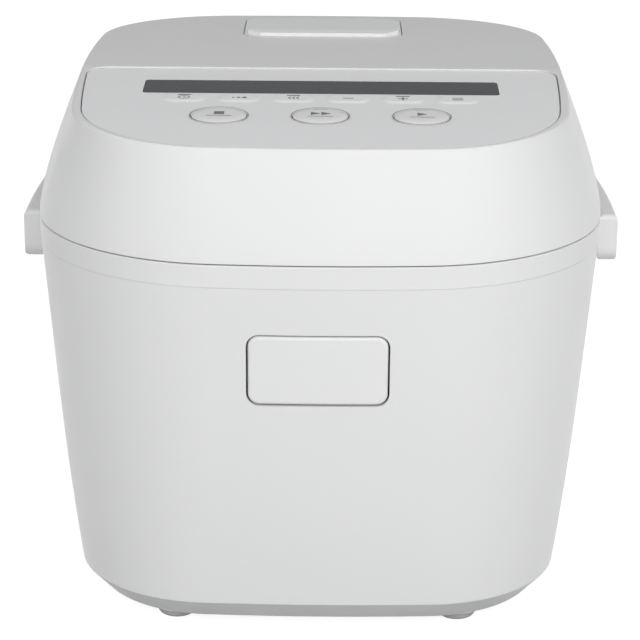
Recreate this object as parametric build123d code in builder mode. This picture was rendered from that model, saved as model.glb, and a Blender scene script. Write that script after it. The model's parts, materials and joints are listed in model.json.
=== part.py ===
from build123d import *
import math
import os

# Compact rice cooker with a carrying handle. Millimetres, +Z up, front towards -Y.
# The origin is on the floor, right below the axis that the handle swings about.

os.makedirs("parts", exist_ok=True)

# ------------------------------------------------------------------ driving sizes
# Housing: bowed rectangles with round corners, at the seam below the lid, at the
# bottom of the wall and along the top edge of the lid.
body_y = -9.0  # middle of the housing, seen from the handle's axis
seam_width, seam_depth = 217.0, 254.4
seam_front_bow, seam_side_bow, seam_corner = 9.1, 13.2, 72.5
base_width, base_depth = 187.5, 226.0
base_front_bow, base_side_bow, base_corner = 4.6, 6.7, 51.7
lid_top_width, lid_top_depth = 189.6, 234.8
lid_top_front_bow, lid_top_side_bow, lid_top_corner = 5.0, 8.0, 55.5

foot_height = 4.0
base_band = 8.0  # height of the sloping band round the bottom
base_band_inset = 7.0
wall_height = 127.5  # from the bottom band to the crease below the rim
rim_height = 8.4  # from the crease to the seam
rim_lean = 0.3
rim_edge = 0.5
wall_swell = 0.8  # exponent: below 1 the wall bulges outwards
seam_gap = 0.5
lid_front_height = 39.5  # from the lid's lower edge to its top front edge
lid_swell = 1.2
lid_front_slope = 0.0405
lid_rear_slope = 0.041
ridge_y = -8.0  # where the two slopes of the lid's top meet
lid_edge_radius = 1.0

body_wall = 2.5
lid_wall = 2.5
base_wall = 2.2
fit_gap = 0.05  # a shaft in its hole
slide_gap = 0.4  # a button or cap in its opening
rest_gap = 0.1  # flat faces of two bodies that meet
spring_gap = 0.3  # a part that springs and levers bring to its stop

# Well, pot and heater, round the pot's axis
pot_radius = 73.5
pot_wall = 1.5
pot_height = 85.0
pot_flange_radius = 80.5
pot_flange = 1.5
pot_bottom_round = 15.0
well_clearance = 2.5
deck_thickness = 2.5
deck_drop = 2.4  # deck below the seam
well_lip_gap = 0.9  # lip of the deck round the pot's flange
well_lip_width = 1.7
can_clearance = 3.5
can_wall = 0.8
can_collar = 8.2  # collar that hangs the can under the deck
can_floor_drop = 22.0  # can floor below the pot
body_heater_height = 30.0
body_heater_rise = 34.0  # above the can's floor
body_heater_thickness = 2.2
plate_radius = 60.0
plate_thickness = 12.0
plate_taper = 8.0
plate_edge_height = 4.0
plate_edge_round = 1.0
plate_hole_gap = 2.0
post_radius = 4.0
heater_ring_radius = 42.0
heater_rod_radius = 3.5
heater_end_length = 8.0  # cold ends below the can
rod_angle, rod_spread = -110.0, 40.0  # where the cold ends leave the ring
rod_gap, rod_seat_gap = 1.0, 0.2
sensor_radius = 14.0
sensor_cup = 9.0
sensor_wall = 1.2
sensor_roof = 1.5
sensor_stem_radius = 3.0
guide_gap, guide_wall, guide_ledge = 5.0, 2.0, 1.0
guide_depth = 5.8  # below the can's floor
sensor_spring_wire, sensor_spring_turns = 0.7, 4
fuse_radius = 2.2
fuse_length = 16.0
fuse_clip_width = 6.0
fuse_drop = 0.6

# Handle
pivot_drop = 18.0  # pivot axis below the crease
handle_gap = 2.7  # between the seam's widest place and the arms
handle_thickness = 7.6
handle_width = 20.0
handle_reach = 130.0  # from the pivot axis to the inside of the grip
handle_corner = 36.0
handle_edge = 2.4
handle_nose_top, handle_nose_bottom = 2.0, 6.0  # rounds at the arms' front ends
hub_radius = 8.0
hub_flange = 3.0
hub_flange_depth = 9.0  # room for the flange behind the wall
pin_radius = 4.0
pin_cover, pin_end_gap = 1.8, 0.7  # wall over the pin's hole, gap at the pin's end
hub_gap = 0.3  # between a hub and its arm

# Hinge
hinge_y = 111.0  # from the housing's middle
hinge_rise = 2.1  # axis above the seam
hinge_half_width = 79.0
hinge_radius = 16.5
hinge_clearance = 1.0
hinge_notch_rise = 18.0
hinge_pin_radius = 3.0
hinge_pin_end = 67.0
knuckle_radius = 8.0
knuckle_width = 10.0
knuckle_x = 45.0
slot_gap = 0.6
hinge_arm_length = 40.5
spring_bay = 10.0
hinge_spring_wire, hinge_spring_turns = 0.7, 4
hinge_spring_gap = 1.5  # free length at each end of its bay

# Lid release
release_y = -119.0  # back of the button, seen from the housing's middle
release_width, release_height = 50.0, 26.4
release_corner = 4.1
release_edge = 1.2
release_gap = 0.6
release_z = 108.2
stem_radius = 2.5
stem_x = 18.0
stem_length = 16.0
push_pad_radius = 2.5
push_gap = 0.5
hook_z = 132.0
hook_drop = 4.0  # hook's foot below the button's middle
hook_width = 14.0
hook_thickness = 4.0
hook_setback = 4.0  # hook behind the back of the button
hook_eye_radius = 3.4
hook_pin_setback = 6.0
hook_pin_radius = 1.5
hook_nose = 3.5
hook_nose_lead, hook_nose_height = 0.2, 1.1
hook_head = 4.5  # above the catch
hook_slot_gap = 1.5
hook_slot_depth = 17.0
lid_slot_depth = 13.0
latch_frame_setback = 12.0
latch_frame_wall = 2.5
latch_frame_width = 60.0
latch_frame_skirt = 12.0  # below the button's middle
latch_guide_length = 4.0
latch_ear = 3.0
latch_ear_gap = 0.9
latch_ear_depth, latch_ear_height = 10.0, 10.0
catch_depth, catch_thickness = 10.0, 1.2
catch_rivet_radius, catch_rivet_pitch = 2.4, 20.0
release_spring_wire, release_spring_turns = 0.5, 3

# Control panel, measured along the lid's sloping front part
panel_margin = 1.3  # shell left in front of the panel
panel_side_margin = 3.8
panel_groove = 0.45
panel_thickness = 2.0
panel_ledge = 5.0
panel_rear_step = 0.6
panel_corner = 9.0
button_radius = 10.0
button_pitch = 36.9
button_from_front = 41.5
button_proud = 0.2  # rim of the button above the panel
button_dome = 0.7
button_flat_radius = 6.0
button_travel = 1.0
button_flange = 1.5
button_flange_thickness = 1.0
button_stem_radius = 2.0
key_width, key_depth, key_corner = 17.0, 12.5, 5.0
key_slope = 2.2
key_count, key_pitch = 6, 20.4
key_from_front = 65.9
key_proud = 0.45
key_root = 0.1  # how far a key's foot reaches into the panel
window_width, window_depth, window_corner = 134.2, 18.6, 1.6
window_thickness = 1.2
window_from_front = 82.1
window_frame = 6.0
display_gap = 1.0
board_drop = 7.0  # top of the board below the panel's surface
board_thickness = 1.6
board_width, board_depth, board_corner = 156.0, 66.0, 3.0
board_from_front = 63.0
board_post_radius, board_post_inset = 3.0, 4.5
indicator_width, indicator_depth = 5.0, 1.1
indicator_thickness, indicator_seat = 0.5, 0.7
button_mark_y = 7.1  # behind the button's middle
indicator_from_edge = 3.4  # middle of a key's mark behind the key's rear edge
switch_size, switch_height, switch_stem_radius = 6.0, 1.6, 1.6
switch_stem = 0.6  # stem above the switch's case
contact_gap = 0.2

# Steam vent
vent_width, vent_depth, vent_corner = 66.0, 50.0, 9.0
vent_y = 86.0
vent_pocket = 4.2
vent_ledge = 3.0
vent_chamber_height = 12.5
vent_skin = 1.5
vent_roof = 3.0
vent_crest_width = 52.0  # front of the raised crest
vent_crest_start = 3.2  # behind the cap's front edge
vent_crest_front, vent_crest_height = 1.35, 1.9
vent_crest_top, vent_crest_back = 5.6, 10.0  # length of its top and of its back slope
vent_slot_width, vent_slot_depth = 7.0, 2.4
vent_slot_pitch, vent_slots = 9.0, 6
duct_radius = 5.0
duct_wall = 1.5
vent_duct_gap = 0.3
duct_width = 24.0
duct_end_margin = 8.0  # box of the duct past the holes' middles
duct_y = 58.0
duct_outlet_y = 74.0

# Lid inside
lid_base_thickness = 3.0
lid_base_rise = 2.6  # its underside above the lid's lower edge
gasket_inner_radius = 75.0
gasket_outer_radius = 82.5
gasket_step, gasket_web = 2.0, 0.4
gasket_lip_start, gasket_lip_end = 3.4, 5.2
gasket_lip_gap = 0.15  # lip above the pot's flange
inner_lid_radius = 74.6
inner_lid_thickness = 1.2
inner_lid_drop = 2.4  # below the lid's base
steam_hole_radius, steam_hole_ring, steam_holes = 1.1, 3.0, 6
stud_radius = 5.0
stud_proud = 0.8
grommet_lip = 1.8
grommet_seat = 2.0
grommet_proud = 0.7
lid_sensor_radius = 6.0
lid_sensor_proud, lid_sensor_gap = 0.6, 0.6
lid_sensor_flange, lid_sensor_plate = 3.0, 2.0
lid_sensor_x, lid_sensor_y = 28.0, -24.0

# Screws, feet and electrics
screw_radius = 1.5
screw_head_radius = 3.0
screw_head = 2.0
cross_width, cross_slot, cross_depth = 3.6, 0.8, 1.0
screw_grip = 12.0  # length of a lid screw in its boss
screw_end_gap = 3.0
boss_radius = 4.5
boss_height = 24.0
base_screw_x, base_screw_y = 72.0, 78.0
lid_screw_inset, lid_screw_y = 10.8, 68.0  # from the top's side, from the middle
foot_radius = 7.5
foot_x, foot_y = 53.0, 93.0
foot_seat = 1.2
foot_round_width, foot_round_height = 2.2, 2.6
cooling_slot_length, cooling_slot_width = 34.0, 3.2
cooling_slot_pitch, cooling_row_pitch, cooling_slots = 12.0, 46.0, 7
inlet_x, inlet_z = 30.0, 30.0
inlet_width, inlet_height, inlet_depth = 30.0, 20.0, 24.0
inlet_wall = 2.5
inlet_corner = 3.0
inlet_floor = 8.0
inlet_pin_x = 6.0
inlet_pin_width, inlet_pin_height, inlet_pin_length = 2.0, 6.0, 11.0
power_board_width, power_board_depth, power_board_corner = 110.0, 56.0, 2.0
power_board_y = -62.0
power_post_radius, power_post_inset = 3.0, 6.0
# (x, y, width, depth, height) of the transformer, the relay and the connector
power_blocks = (
    (-34.0, -12.0, 26.0, 22.0, 17.0),
    (32.0, -14.0, 20.0, 16.0, 14.0),
    (38.0, 10.0, 18.0, 6.0, 8.0),
)
capacitor_points = ((-4.0, -12.0), (8.0, -12.0))
capacitor_radius, capacitor_height = 4.5, 13.0

# ------------------------------------------------------------------ derived heights
base_bottom = foot_height
wall_bottom = base_bottom + base_band
crease_z = wall_bottom + wall_height
pivot_height = crease_z - pivot_drop
boss_top = wall_bottom + boss_height
seam_z = crease_z + rim_height
lid_bottom = seam_z + seam_gap
lid_front_z = lid_bottom + lid_front_height
lid_front_y = -lid_top_depth / 2
ridge_z = lid_front_z + lid_front_slope * (ridge_y - lid_front_y)
deck_top = seam_z - deck_drop
deck_bottom = deck_top - deck_thickness
pot_top = deck_top + pot_flange
pot_bottom = pot_top - pot_height
can_floor = pot_bottom - can_floor_drop
well_radius = pot_radius + well_clearance
can_radius = pot_radius + can_clearance
guide_radius = sensor_radius + guide_gap + guide_wall
lid_base_bottom = lid_bottom + lid_base_rise
lid_base_top = lid_base_bottom + lid_base_thickness
hinge_z = seam_z + hinge_rise
floor_top = base_bottom + base_wall
bay_start = knuckle_x - knuckle_width / 2 - slot_gap
bay_length = knuckle_width + spring_bay + 2 * slot_gap
pot_axis = Axis((0, body_y, 0), (0, 0, 1))
handle_inner_x = seam_width / 2 + handle_gap
handle_outer_x = handle_inner_x + handle_thickness
handle_bow = seam_side_bow * (handle_reach / (seam_depth / 2 - seam_front_bow)) ** 2
frame_front = release_y + latch_frame_setback
hook_front = release_y + hook_setback
hook_back = hook_front + hook_thickness
hook_pin_y = release_y + hook_pin_setback
catch_top = lid_base_top + catch_thickness
nose_tip = hook_back + hook_nose
catch_front = nose_tip + spring_gap
inner_lid_bottom = lid_base_bottom - inner_lid_drop
inner_lid_top = inner_lid_bottom + inner_lid_thickness

# An outline is (half width, half depth, front bow, side bow, corner radius).
base_outline = (base_width / 2, base_depth / 2, base_front_bow, base_side_bow, base_corner)
seam_outline = (seam_width / 2, seam_depth / 2, seam_front_bow, seam_side_bow, seam_corner)
top_outline = (
    lid_top_width / 2,
    lid_top_depth / 2,
    lid_top_front_bow,
    lid_top_side_bow,
    lid_top_corner,
)


# ------------------------------------------------------------------ planes and outlines
def level(height):
    """Horizontal plane on the housing's middle line."""
    return Plane((0, body_y, height))


def side(x=0.0):
    """Upright plane across the width: local x runs rearwards, local y up."""
    return Plane(origin=(x, body_y, 0), x_dir=(0, 1, 0), z_dir=(1, 0, 0))


def facing(y=0.0):
    """Upright plane seen from the front: local x runs right, local y up."""
    return Plane(origin=(0, body_y + y, 0), x_dir=(1, 0, 0), z_dir=(0, -1, 0))


panel_angle = math.atan(lid_front_slope - panel_rear_step / (ridge_y - lid_front_y))
panel_plane = Plane(
    origin=(0, body_y + lid_front_y, lid_front_z),
    x_dir=(1, 0, 0),
    z_dir=(0, -math.sin(panel_angle), math.cos(panel_angle)),
)
panel_length = (ridge_y - lid_front_y) / math.cos(panel_angle)


def blend(low, high, share):
    """Outline between two outlines."""
    return tuple(a + (b - a) * share for a, b in zip(low, high))


def inset(shape, by):
    """Outline moved inwards all round."""
    half_width, half_depth, front_bow, side_bow, corner = shape
    return (half_width - by, half_depth - by, front_bow, side_bow, corner - by)


def outline(plane, shape, middle=0.0):
    """Bowed rectangle with round corners, its middle at local y = middle."""
    half_width, half_depth, front_bow, side_bow, corner = shape
    x = half_width - side_bow
    y = half_depth - front_bow
    with BuildSketch(plane) as sketch:
        with BuildLine():
            ThreePointArc((-x, middle - y), (0, middle - half_depth), (x, middle - y))
            ThreePointArc((x, middle - y), (half_width, middle), (x, middle + y))
            ThreePointArc((x, middle + y), (0, middle + half_depth), (-x, middle + y))
            ThreePointArc((-x, middle + y), (-half_width, middle), (-x, middle - y))
        make_face()
        fillet(sketch.vertices(), corner)
    return sketch.sketch


def wall_form(by=0.0):
    """Solid of the body's outside, or of its inside when moved inwards."""
    low = inset(base_outline, by)
    high = inset(seam_outline, by + rim_lean)
    with BuildPart() as form:
        sections = []
        for share in (0.0, 0.3, 0.65, 1.0):
            plane = level(wall_bottom + wall_height * share)
            sections.append(outline(plane, blend(low, high, share**wall_swell)))
        loft(sections)
    return form.part


def rim_form(by=0.0):
    """Solid of the upright band between the crease and the seam."""
    with BuildPart() as form:
        low = outline(level(crease_z), inset(seam_outline, by + rim_lean))
        high = outline(level(seam_z), inset(seam_outline, by))
        loft([low, high])
    return form.part


def lid_form(by=0.0, drop=0.0, edge=0.0):
    """Solid of the lid's outside under its two-sloped top, or of its inside.

    One half is made, gets its rounded top edge and is then mirrored.
    """
    reach = seam_depth
    below = seam_z if by == 0 else seam_z - body_wall
    with BuildPart() as form:
        sections = []
        for share in (0.0, 0.35, 0.7, 1.0, 1.16):
            plane = level(seam_z + (lid_front_z - seam_z) * share)
            shape = blend(seam_outline, top_outline, share**lid_swell)
            sections.append(outline(plane, inset(shape, by)))
        loft(sections)
        with BuildSketch(side(-reach)):
            with BuildLine():
                Polyline(
                    (-reach, below),
                    (-reach, lid_top_z(-reach) - drop),
                    (ridge_y, ridge_z - drop),
                    (reach, lid_top_z(reach) - drop),
                    (reach, below),
                    close=True,
                )
            make_face()
        extrude(amount=2 * reach, mode=Mode.INTERSECT)
        split(bisect_by=Plane.YZ)
        if edge:
            roof = form.faces().filter_by(GeomType.PLANE).sort_by(Axis.Z)[-2:]
            rim = [e for face in roof for e in face.edges() if e.geom_type != GeomType.LINE]
            fillet(rim, edge)
        mirror(about=Plane.YZ)
    return form.part


def hinge_zone(gap, rise):
    """Space round the hinge barrel that the lid keeps clear of."""
    half = hinge_half_width + gap
    with BuildPart() as zone:
        with BuildSketch(side(-half)):
            with Locations((hinge_y, hinge_z)):
                Circle(hinge_radius + gap)
            with Locations((hinge_y, hinge_z + rise)):
                Rectangle(seam_depth, seam_depth, align=(Align.MIN, Align.MAX))
        extrude(amount=2 * half)
    return zone.part


def lid_top_z(y):
    """Height of the lid's top at a place measured from the housing's middle."""
    slope = lid_front_slope if y < ridge_y else -lid_rear_slope
    return ridge_z + slope * (y - ridge_y)


def hinge_barrel(low, high):
    """Slice of the hinge's barrel between two heights."""
    with BuildPart() as barrel:
        with BuildSketch(side(-hinge_half_width)):
            with Locations((hinge_y, hinge_z)):
                Circle(hinge_radius)
            with Locations((hinge_y, low)):
                Rectangle(
                    3 * hinge_radius,
                    high - low,
                    align=(Align.CENTER, Align.MIN),
                    mode=Mode.INTERSECT,
                )
        extrude(amount=2 * hinge_half_width)
    return barrel.part


def panel_block(by, low, high):
    """Plate with the outline of the panel moved inwards, between two heights."""
    half_width, half_depth, front_bow, side_bow, corner = top_outline
    shape = (
        half_width - panel_side_margin - by,
        half_depth - panel_margin - by,
        front_bow,
        side_bow,
        corner - panel_side_margin - by,
    )
    with BuildPart() as block:
        extrude(outline(panel_plane.offset(low), shape, lid_top_depth / 2), amount=high - low)
        with BuildSketch(panel_plane.offset(low)):
            with Locations((0, panel_length - (panel_margin + by) / 2)):
                Rectangle(seam_width, seam_depth, align=(Align.CENTER, Align.MIN))
        extrude(amount=high - low, mode=Mode.SUBTRACT)
        upright = block.edges().filter_by(Axis((0, 0, 0), panel_plane.z_dir))
        fillet(upright.sort_by(Axis.Y)[-2:], panel_corner)
    return block.part


def on_panel(height=0.0):
    """The panel's plane raised by a height."""
    return panel_plane.offset(height)


def round_corner(x, y, radius):
    """Quarter arc of a profile, from its floor up into its wall at x."""
    far = radius * math.sqrt(0.5)
    ThreePointArc((x - radius, y), (x - radius + far, y + radius - far), (x, y + radius))


def spring(centre, direction, radius, wire, turns, length):
    """Coil of round wire that starts at the centre and runs along the direction."""
    start = Vector(centre)
    along = Vector(direction).normalized()
    with BuildPart() as coil:
        with BuildLine() as path:
            Helix(length / turns, length, radius, center=start, direction=along)
        with BuildSketch(Plane(origin=path.line @ 0, z_dir=path.line % 0)):
            RegularPolygon(wire, 6)
        sweep(path=path.line, is_frenet=True)
    return coil.part


mirrored = (-1, 1)
base_screw_points = [(x * base_screw_x, y * base_screw_y) for x in mirrored for y in mirrored]
lid_screw_x = lid_top_width / 2 - lid_screw_inset
lid_screw_points = [(x * lid_screw_x, y * lid_screw_y) for x in mirrored for y in mirrored]
foot_points = {
    "foot_front_left": (-foot_x, -foot_y),
    "foot_front_right": (foot_x, -foot_y),
    "foot_rear_left": (-foot_x, foot_y),
    "foot_rear_right": (foot_x, foot_y),
}
button_points = {
    "cancel_button": (-button_pitch, button_from_front),
    "quick_cook_button": (0.0, button_from_front),
    "start_button": (button_pitch, button_from_front),
}
key_points = [
    ((i - (key_count - 1) / 2) * key_pitch, key_from_front) for i in range(key_count)
]

wall_solid = wall_form()
wall_space = wall_form(body_wall)
hub_space = wall_form(body_wall + rest_gap)
lid_solid = lid_form(edge=lid_edge_radius)

# ------------------------------------------------------------------ bottom
with BuildPart() as base_cover:
    low = outline(level(base_bottom), inset(base_outline, base_band_inset))
    loft([low, outline(level(wall_bottom), base_outline)])
    low = outline(level(floor_top), inset(base_outline, base_band_inset + base_wall))
    high = outline(level(wall_bottom), inset(base_outline, base_wall))
    loft([low, high], mode=Mode.SUBTRACT)
    with BuildSketch(level(base_bottom)):
        with Locations(*base_screw_points):
            Circle(boss_radius)
    extrude(amount=wall_bottom - base_bottom)
    with BuildSketch(level(base_bottom)):
        with Locations(*foot_points.values()):
            Circle(foot_radius + base_wall)
    extrude(amount=foot_seat + base_wall)
    # pedestal under the power inlet and posts under the power board
    with BuildSketch(level(base_bottom)):
        with Locations((inlet_x, base_depth / 2 - inlet_depth)):
            Rectangle(inlet_width - 2 * inlet_wall, inlet_depth / 3)
    extrude(amount=inlet_z - inlet_height / 2 - base_bottom)
    with BuildSketch(level(base_bottom)):
        with Locations((0, power_board_y)):
            with GridLocations(
                power_board_width - 2 * power_post_inset,
                power_board_depth - 2 * power_post_inset,
                2,
                2,
            ):
                Circle(power_post_radius)
    extrude(amount=wall_bottom - base_bottom)
    # seats of the feet, screw holes and cooling slots
    with BuildSketch(level(base_bottom)):
        with Locations(*foot_points.values()):
            Circle(foot_radius + rest_gap)
    extrude(amount=foot_seat, mode=Mode.SUBTRACT)
    with BuildSketch(level(base_bottom)):
        with Locations(*base_screw_points):
            Circle(screw_radius + rest_gap)
    extrude(amount=wall_bottom - base_bottom, mode=Mode.SUBTRACT)
    with BuildSketch(level(base_bottom)):
        with Locations(*base_screw_points):
            Circle(screw_head_radius + rest_gap)
    extrude(amount=screw_head + rest_gap, mode=Mode.SUBTRACT)
    with BuildSketch(level(base_bottom)):
        with GridLocations(cooling_slot_pitch, cooling_row_pitch, cooling_slots, 2):
            SlotOverall(cooling_slot_length, cooling_slot_width, rotation=90)
    extrude(amount=base_wall, mode=Mode.SUBTRACT)
base_cover.part.label = "base_cover"
export_step(base_cover.part, "parts/base_cover.step")

with BuildPart() as base_screws:
    with BuildSketch(level(base_bottom + rest_gap)):
        with Locations(*base_screw_points):
            Circle(screw_head_radius)
    extrude(amount=screw_head)
    with BuildSketch(level(base_bottom + rest_gap + screw_head)):
        with Locations(*base_screw_points):
            Circle(screw_radius)
    extrude(amount=boss_top - base_bottom - screw_head - 2 * screw_end_gap)
    with BuildSketch(level(base_bottom + rest_gap)):
        with Locations(*base_screw_points):
            Rectangle(cross_width, cross_slot)
            Rectangle(cross_slot, cross_width)
    extrude(amount=cross_depth, mode=Mode.SUBTRACT)
base_screws.part.label = "base_screws"
export_step(base_screws.part, "parts/base_screws.step")

for foot_name, (x, y) in foot_points.items():
    with BuildPart() as foot:
        with BuildSketch(side(x)):
            with BuildLine():
                Line((y, 0), (y + foot_radius - foot_round_width, 0))
                EllipticalCenterArc(
                    (y + foot_radius - foot_round_width, foot_round_height),
                    foot_round_width,
                    foot_round_height,
                    start_angle=270,
                    arc_size=90,
                )
                Polyline(
                    (y + foot_radius, foot_round_height),
                    (y + foot_radius, foot_height + foot_seat),
                    (y, foot_height + foot_seat),
                    (y, 0),
                )
            make_face()
        revolve(axis=Axis((x, body_y + y, 0), (0, 0, 1)))
    foot.part.label = foot_name
    export_step(foot.part, f"parts/{foot_name}.step")

# ------------------------------------------------------------------ outer body
with BuildPart() as outer_body:
    add(wall_solid)
    add(wall_space, mode=Mode.SUBTRACT)
    with BuildSketch(level(wall_bottom)):
        with Locations(*base_screw_points):
            Circle(boss_radius)
        for x, y in base_screw_points:
            with Locations((x, y + math.copysign(base_depth / 8, y))):
                Rectangle(base_wall, base_depth / 4)
    extrude(amount=boss_height)
    add(wall_solid, mode=Mode.INTERSECT)
    with BuildSketch(level(wall_bottom)):
        with Locations(*base_screw_points):
            Circle(screw_radius + rest_gap)
    extrude(amount=boss_height - screw_end_gap, mode=Mode.SUBTRACT)
    # opening for the release button
    with BuildSketch(facing()):
        with Locations((0, release_z)):
            RectangleRounded(
                release_width + 2 * release_gap,
                release_height + 2 * release_gap,
                release_corner + release_gap,
            )
    extrude(amount=seam_depth, mode=Mode.SUBTRACT)
    # opening for the power inlet
    with BuildSketch(facing()):
        with Locations((inlet_x, inlet_z)):
            RectangleRounded(
                inlet_width + 2 * rest_gap, inlet_height + 2 * rest_gap, inlet_corner + rest_gap
            )
    extrude(amount=-seam_depth, mode=Mode.SUBTRACT)
    # holes for the handle's hubs
    with BuildSketch(Plane.YZ.offset(-seam_width)):
        with Locations((0, pivot_height)):
            Circle(hub_radius + rest_gap)
    extrude(amount=2 * seam_width, mode=Mode.SUBTRACT)
outer_body.part.label = "outer_body"
export_step(outer_body.part, "parts/outer_body.step")

hook_slot = hook_width + 2 * hook_slot_gap
with BuildPart() as top_frame:
    add(rim_form())
    fillet(top_frame.edges().group_by(Axis.Z)[-1], rim_edge)
    add(rim_form(body_wall), mode=Mode.SUBTRACT)
    extrude(outline(level(deck_bottom), inset(seam_outline, body_wall / 2)), amount=deck_thickness)
    with BuildSketch(level(deck_bottom)):
        Circle(well_radius)
    extrude(amount=deck_thickness, mode=Mode.SUBTRACT)
    with BuildSketch(level(deck_bottom)):
        with Locations((0, hook_front)):
            Rectangle(hook_slot, hook_slot_depth)
    extrude(amount=deck_thickness, mode=Mode.SUBTRACT)
    # room for the knuckles below the hinge axis
    for x in (-bay_start - bay_length, bay_start):
        with BuildSketch(side(x)):
            with Locations((hinge_y, hinge_z)):
                Circle(knuckle_radius + slot_gap)
        extrude(amount=bay_length, mode=Mode.SUBTRACT)
    # raised lip round the well that the gasket closes against
    with BuildSketch(level(deck_top)):
        Circle(pot_flange_radius + well_lip_gap + well_lip_width)
        Circle(pot_flange_radius + well_lip_gap, mode=Mode.SUBTRACT)
    extrude(amount=pot_flange)
top_frame.part.label = "top_frame"
export_step(top_frame.part, "parts/top_frame.step")

# ------------------------------------------------------------------ well, pot and heater
with BuildPart() as inner_can:
    with BuildSketch(side()):
        with BuildLine():
            Polyline(
                (0, can_floor),
                (can_radius + can_wall, can_floor),
                (can_radius + can_wall, deck_bottom - can_wall),
                (can_radius + can_wall + can_collar, deck_bottom - can_wall),
                (can_radius + can_wall + can_collar, deck_bottom),
                (can_radius, deck_bottom),
                (can_radius, can_floor + can_wall),
                (0, can_floor + can_wall),
                close=True,
            )
        make_face()
    revolve(axis=pot_axis)
    with BuildSketch(level(can_floor)):
        Circle(guide_radius - guide_wall - guide_ledge)
        with PolarLocations(heater_ring_radius, 2, start_angle=rod_angle, angular_range=rod_spread):
            Circle(heater_rod_radius + rod_gap)
    extrude(amount=can_wall, mode=Mode.SUBTRACT)
inner_can.part.label = "inner_can"
export_step(inner_can.part, "parts/inner_can.step")

with BuildPart() as body_heater:
    with BuildSketch(level(can_floor + body_heater_rise)):
        Circle(can_radius + can_wall + body_heater_thickness)
        Circle(can_radius + can_wall, mode=Mode.SUBTRACT)
    extrude(amount=body_heater_height)
body_heater.part.label = "body_heater"
export_step(body_heater.part, "parts/body_heater.step")

with BuildPart() as inner_pot:
    with BuildSketch(side()):
        with BuildLine():
            inside = pot_radius - pot_wall
            inside_round = pot_bottom_round - pot_wall
            Line((0, pot_bottom), (pot_radius - pot_bottom_round, pot_bottom))
            round_corner(pot_radius, pot_bottom, pot_bottom_round)
            Polyline(
                (pot_radius, pot_bottom + pot_bottom_round),
                (pot_radius, deck_top),
                (pot_flange_radius, deck_top),
                (pot_flange_radius, pot_top),
                (inside, pot_top),
                (inside, pot_bottom + pot_bottom_round),
            )
            round_corner(inside, pot_bottom + pot_wall, inside_round)
            Polyline(
                (inside - inside_round, pot_bottom + pot_wall),
                (0, pot_bottom + pot_wall),
                (0, pot_bottom),
            )
        make_face()
    revolve(axis=pot_axis)
inner_pot.part.label = "inner_pot"
export_step(inner_pot.part, "parts/inner_pot.step")

plate_bottom = pot_bottom - plate_thickness
rod_centre = plate_bottom + heater_rod_radius + rod_seat_gap
plate_hole_radius = sensor_radius + plate_hole_gap
with BuildPart() as heating_plate:
    with BuildSketch(side()):
        with BuildLine():
            Polyline(
                (plate_hole_radius, plate_bottom),
                (plate_radius - plate_taper, plate_bottom),
                (plate_radius, pot_bottom - plate_edge_height - plate_edge_round),
                (plate_radius, pot_bottom - plate_edge_round),
                (plate_radius - plate_edge_round, pot_bottom),
                (plate_hole_radius, pot_bottom),
                close=True,
            )
        make_face()
        with Locations((heater_ring_radius, plate_bottom)):
            Rectangle(
                2 * (heater_rod_radius + rod_seat_gap),
                4 * (heater_rod_radius + rod_seat_gap),
                mode=Mode.SUBTRACT,
            )
    revolve(axis=pot_axis)
heating_plate.part.label = "heating_plate"
export_step(heating_plate.part, "parts/heating_plate.step")

with BuildPart() as heating_element:
    with BuildSketch(side()):
        with Locations((heater_ring_radius, rod_centre)):
            Circle(heater_rod_radius)
    revolve(axis=pot_axis, revolution_arc=360)
    with BuildSketch(level(can_floor - heater_end_length)):
        with PolarLocations(heater_ring_radius, 2, start_angle=rod_angle, angular_range=rod_spread):
            Circle(heater_rod_radius - rod_gap)
    extrude(amount=rod_centre - can_floor + heater_end_length)
heating_element.part.label = "heating_element"
export_step(heating_element.part, "parts/heating_element.step")

with BuildPart() as plate_posts:
    with BuildSketch(level(can_floor + can_wall)):
        with PolarLocations((plate_hole_radius + heater_ring_radius) / 2, 3, start_angle=30):
            Circle(post_radius)
    extrude(amount=plate_bottom - can_floor - can_wall)
plate_posts.part.label = "plate_posts"
export_step(plate_posts.part, "parts/plate_posts.step")

sensor_top = pot_bottom - rest_gap
guide_bottom = can_floor - guide_depth
stem_bottom = guide_bottom - guide_wall
with BuildPart() as thermal_sensor:
    with BuildSketch(level(sensor_top - sensor_cup)):
        Circle(sensor_radius)
    extrude(amount=sensor_cup)
    fillet(thermal_sensor.edges().group_by(Axis.Z)[-1], sensor_roof / 2)
    with BuildSketch(level(sensor_top - sensor_cup)):
        Circle(sensor_radius - sensor_wall)
        Circle(sensor_stem_radius, mode=Mode.SUBTRACT)
    extrude(amount=sensor_cup - sensor_roof, mode=Mode.SUBTRACT)
    with BuildSketch(level(stem_bottom)):
        Circle(sensor_stem_radius)
    extrude(amount=sensor_top - sensor_cup - stem_bottom)
thermal_sensor.part.label = "thermal_sensor"
export_step(thermal_sensor.part, "parts/thermal_sensor.step")

with BuildPart() as sensor_guide:
    with BuildSketch(level(guide_bottom)):
        Circle(guide_radius)
        Circle(sensor_stem_radius + fit_gap, mode=Mode.SUBTRACT)
    extrude(amount=guide_wall)
    with BuildSketch(level(guide_bottom)):
        Circle(guide_radius)
        Circle(guide_radius - guide_wall, mode=Mode.SUBTRACT)
    extrude(amount=can_floor - guide_bottom)
sensor_guide.part.label = "sensor_guide"
export_step(sensor_guide.part, "parts/sensor_guide.step")

spring_start = guide_bottom + guide_wall + sensor_spring_wire + rest_gap
spring_end = sensor_top - sensor_roof - sensor_spring_wire - rest_gap
sensor_spring = spring(
    (0, body_y, spring_start),
    (0, 0, 1),
    sensor_radius / 2,
    sensor_spring_wire,
    sensor_spring_turns,
    spring_end - spring_start,
)
sensor_spring.label = "sensor_spring"
export_step(sensor_spring, "parts/sensor_spring.step")

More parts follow.
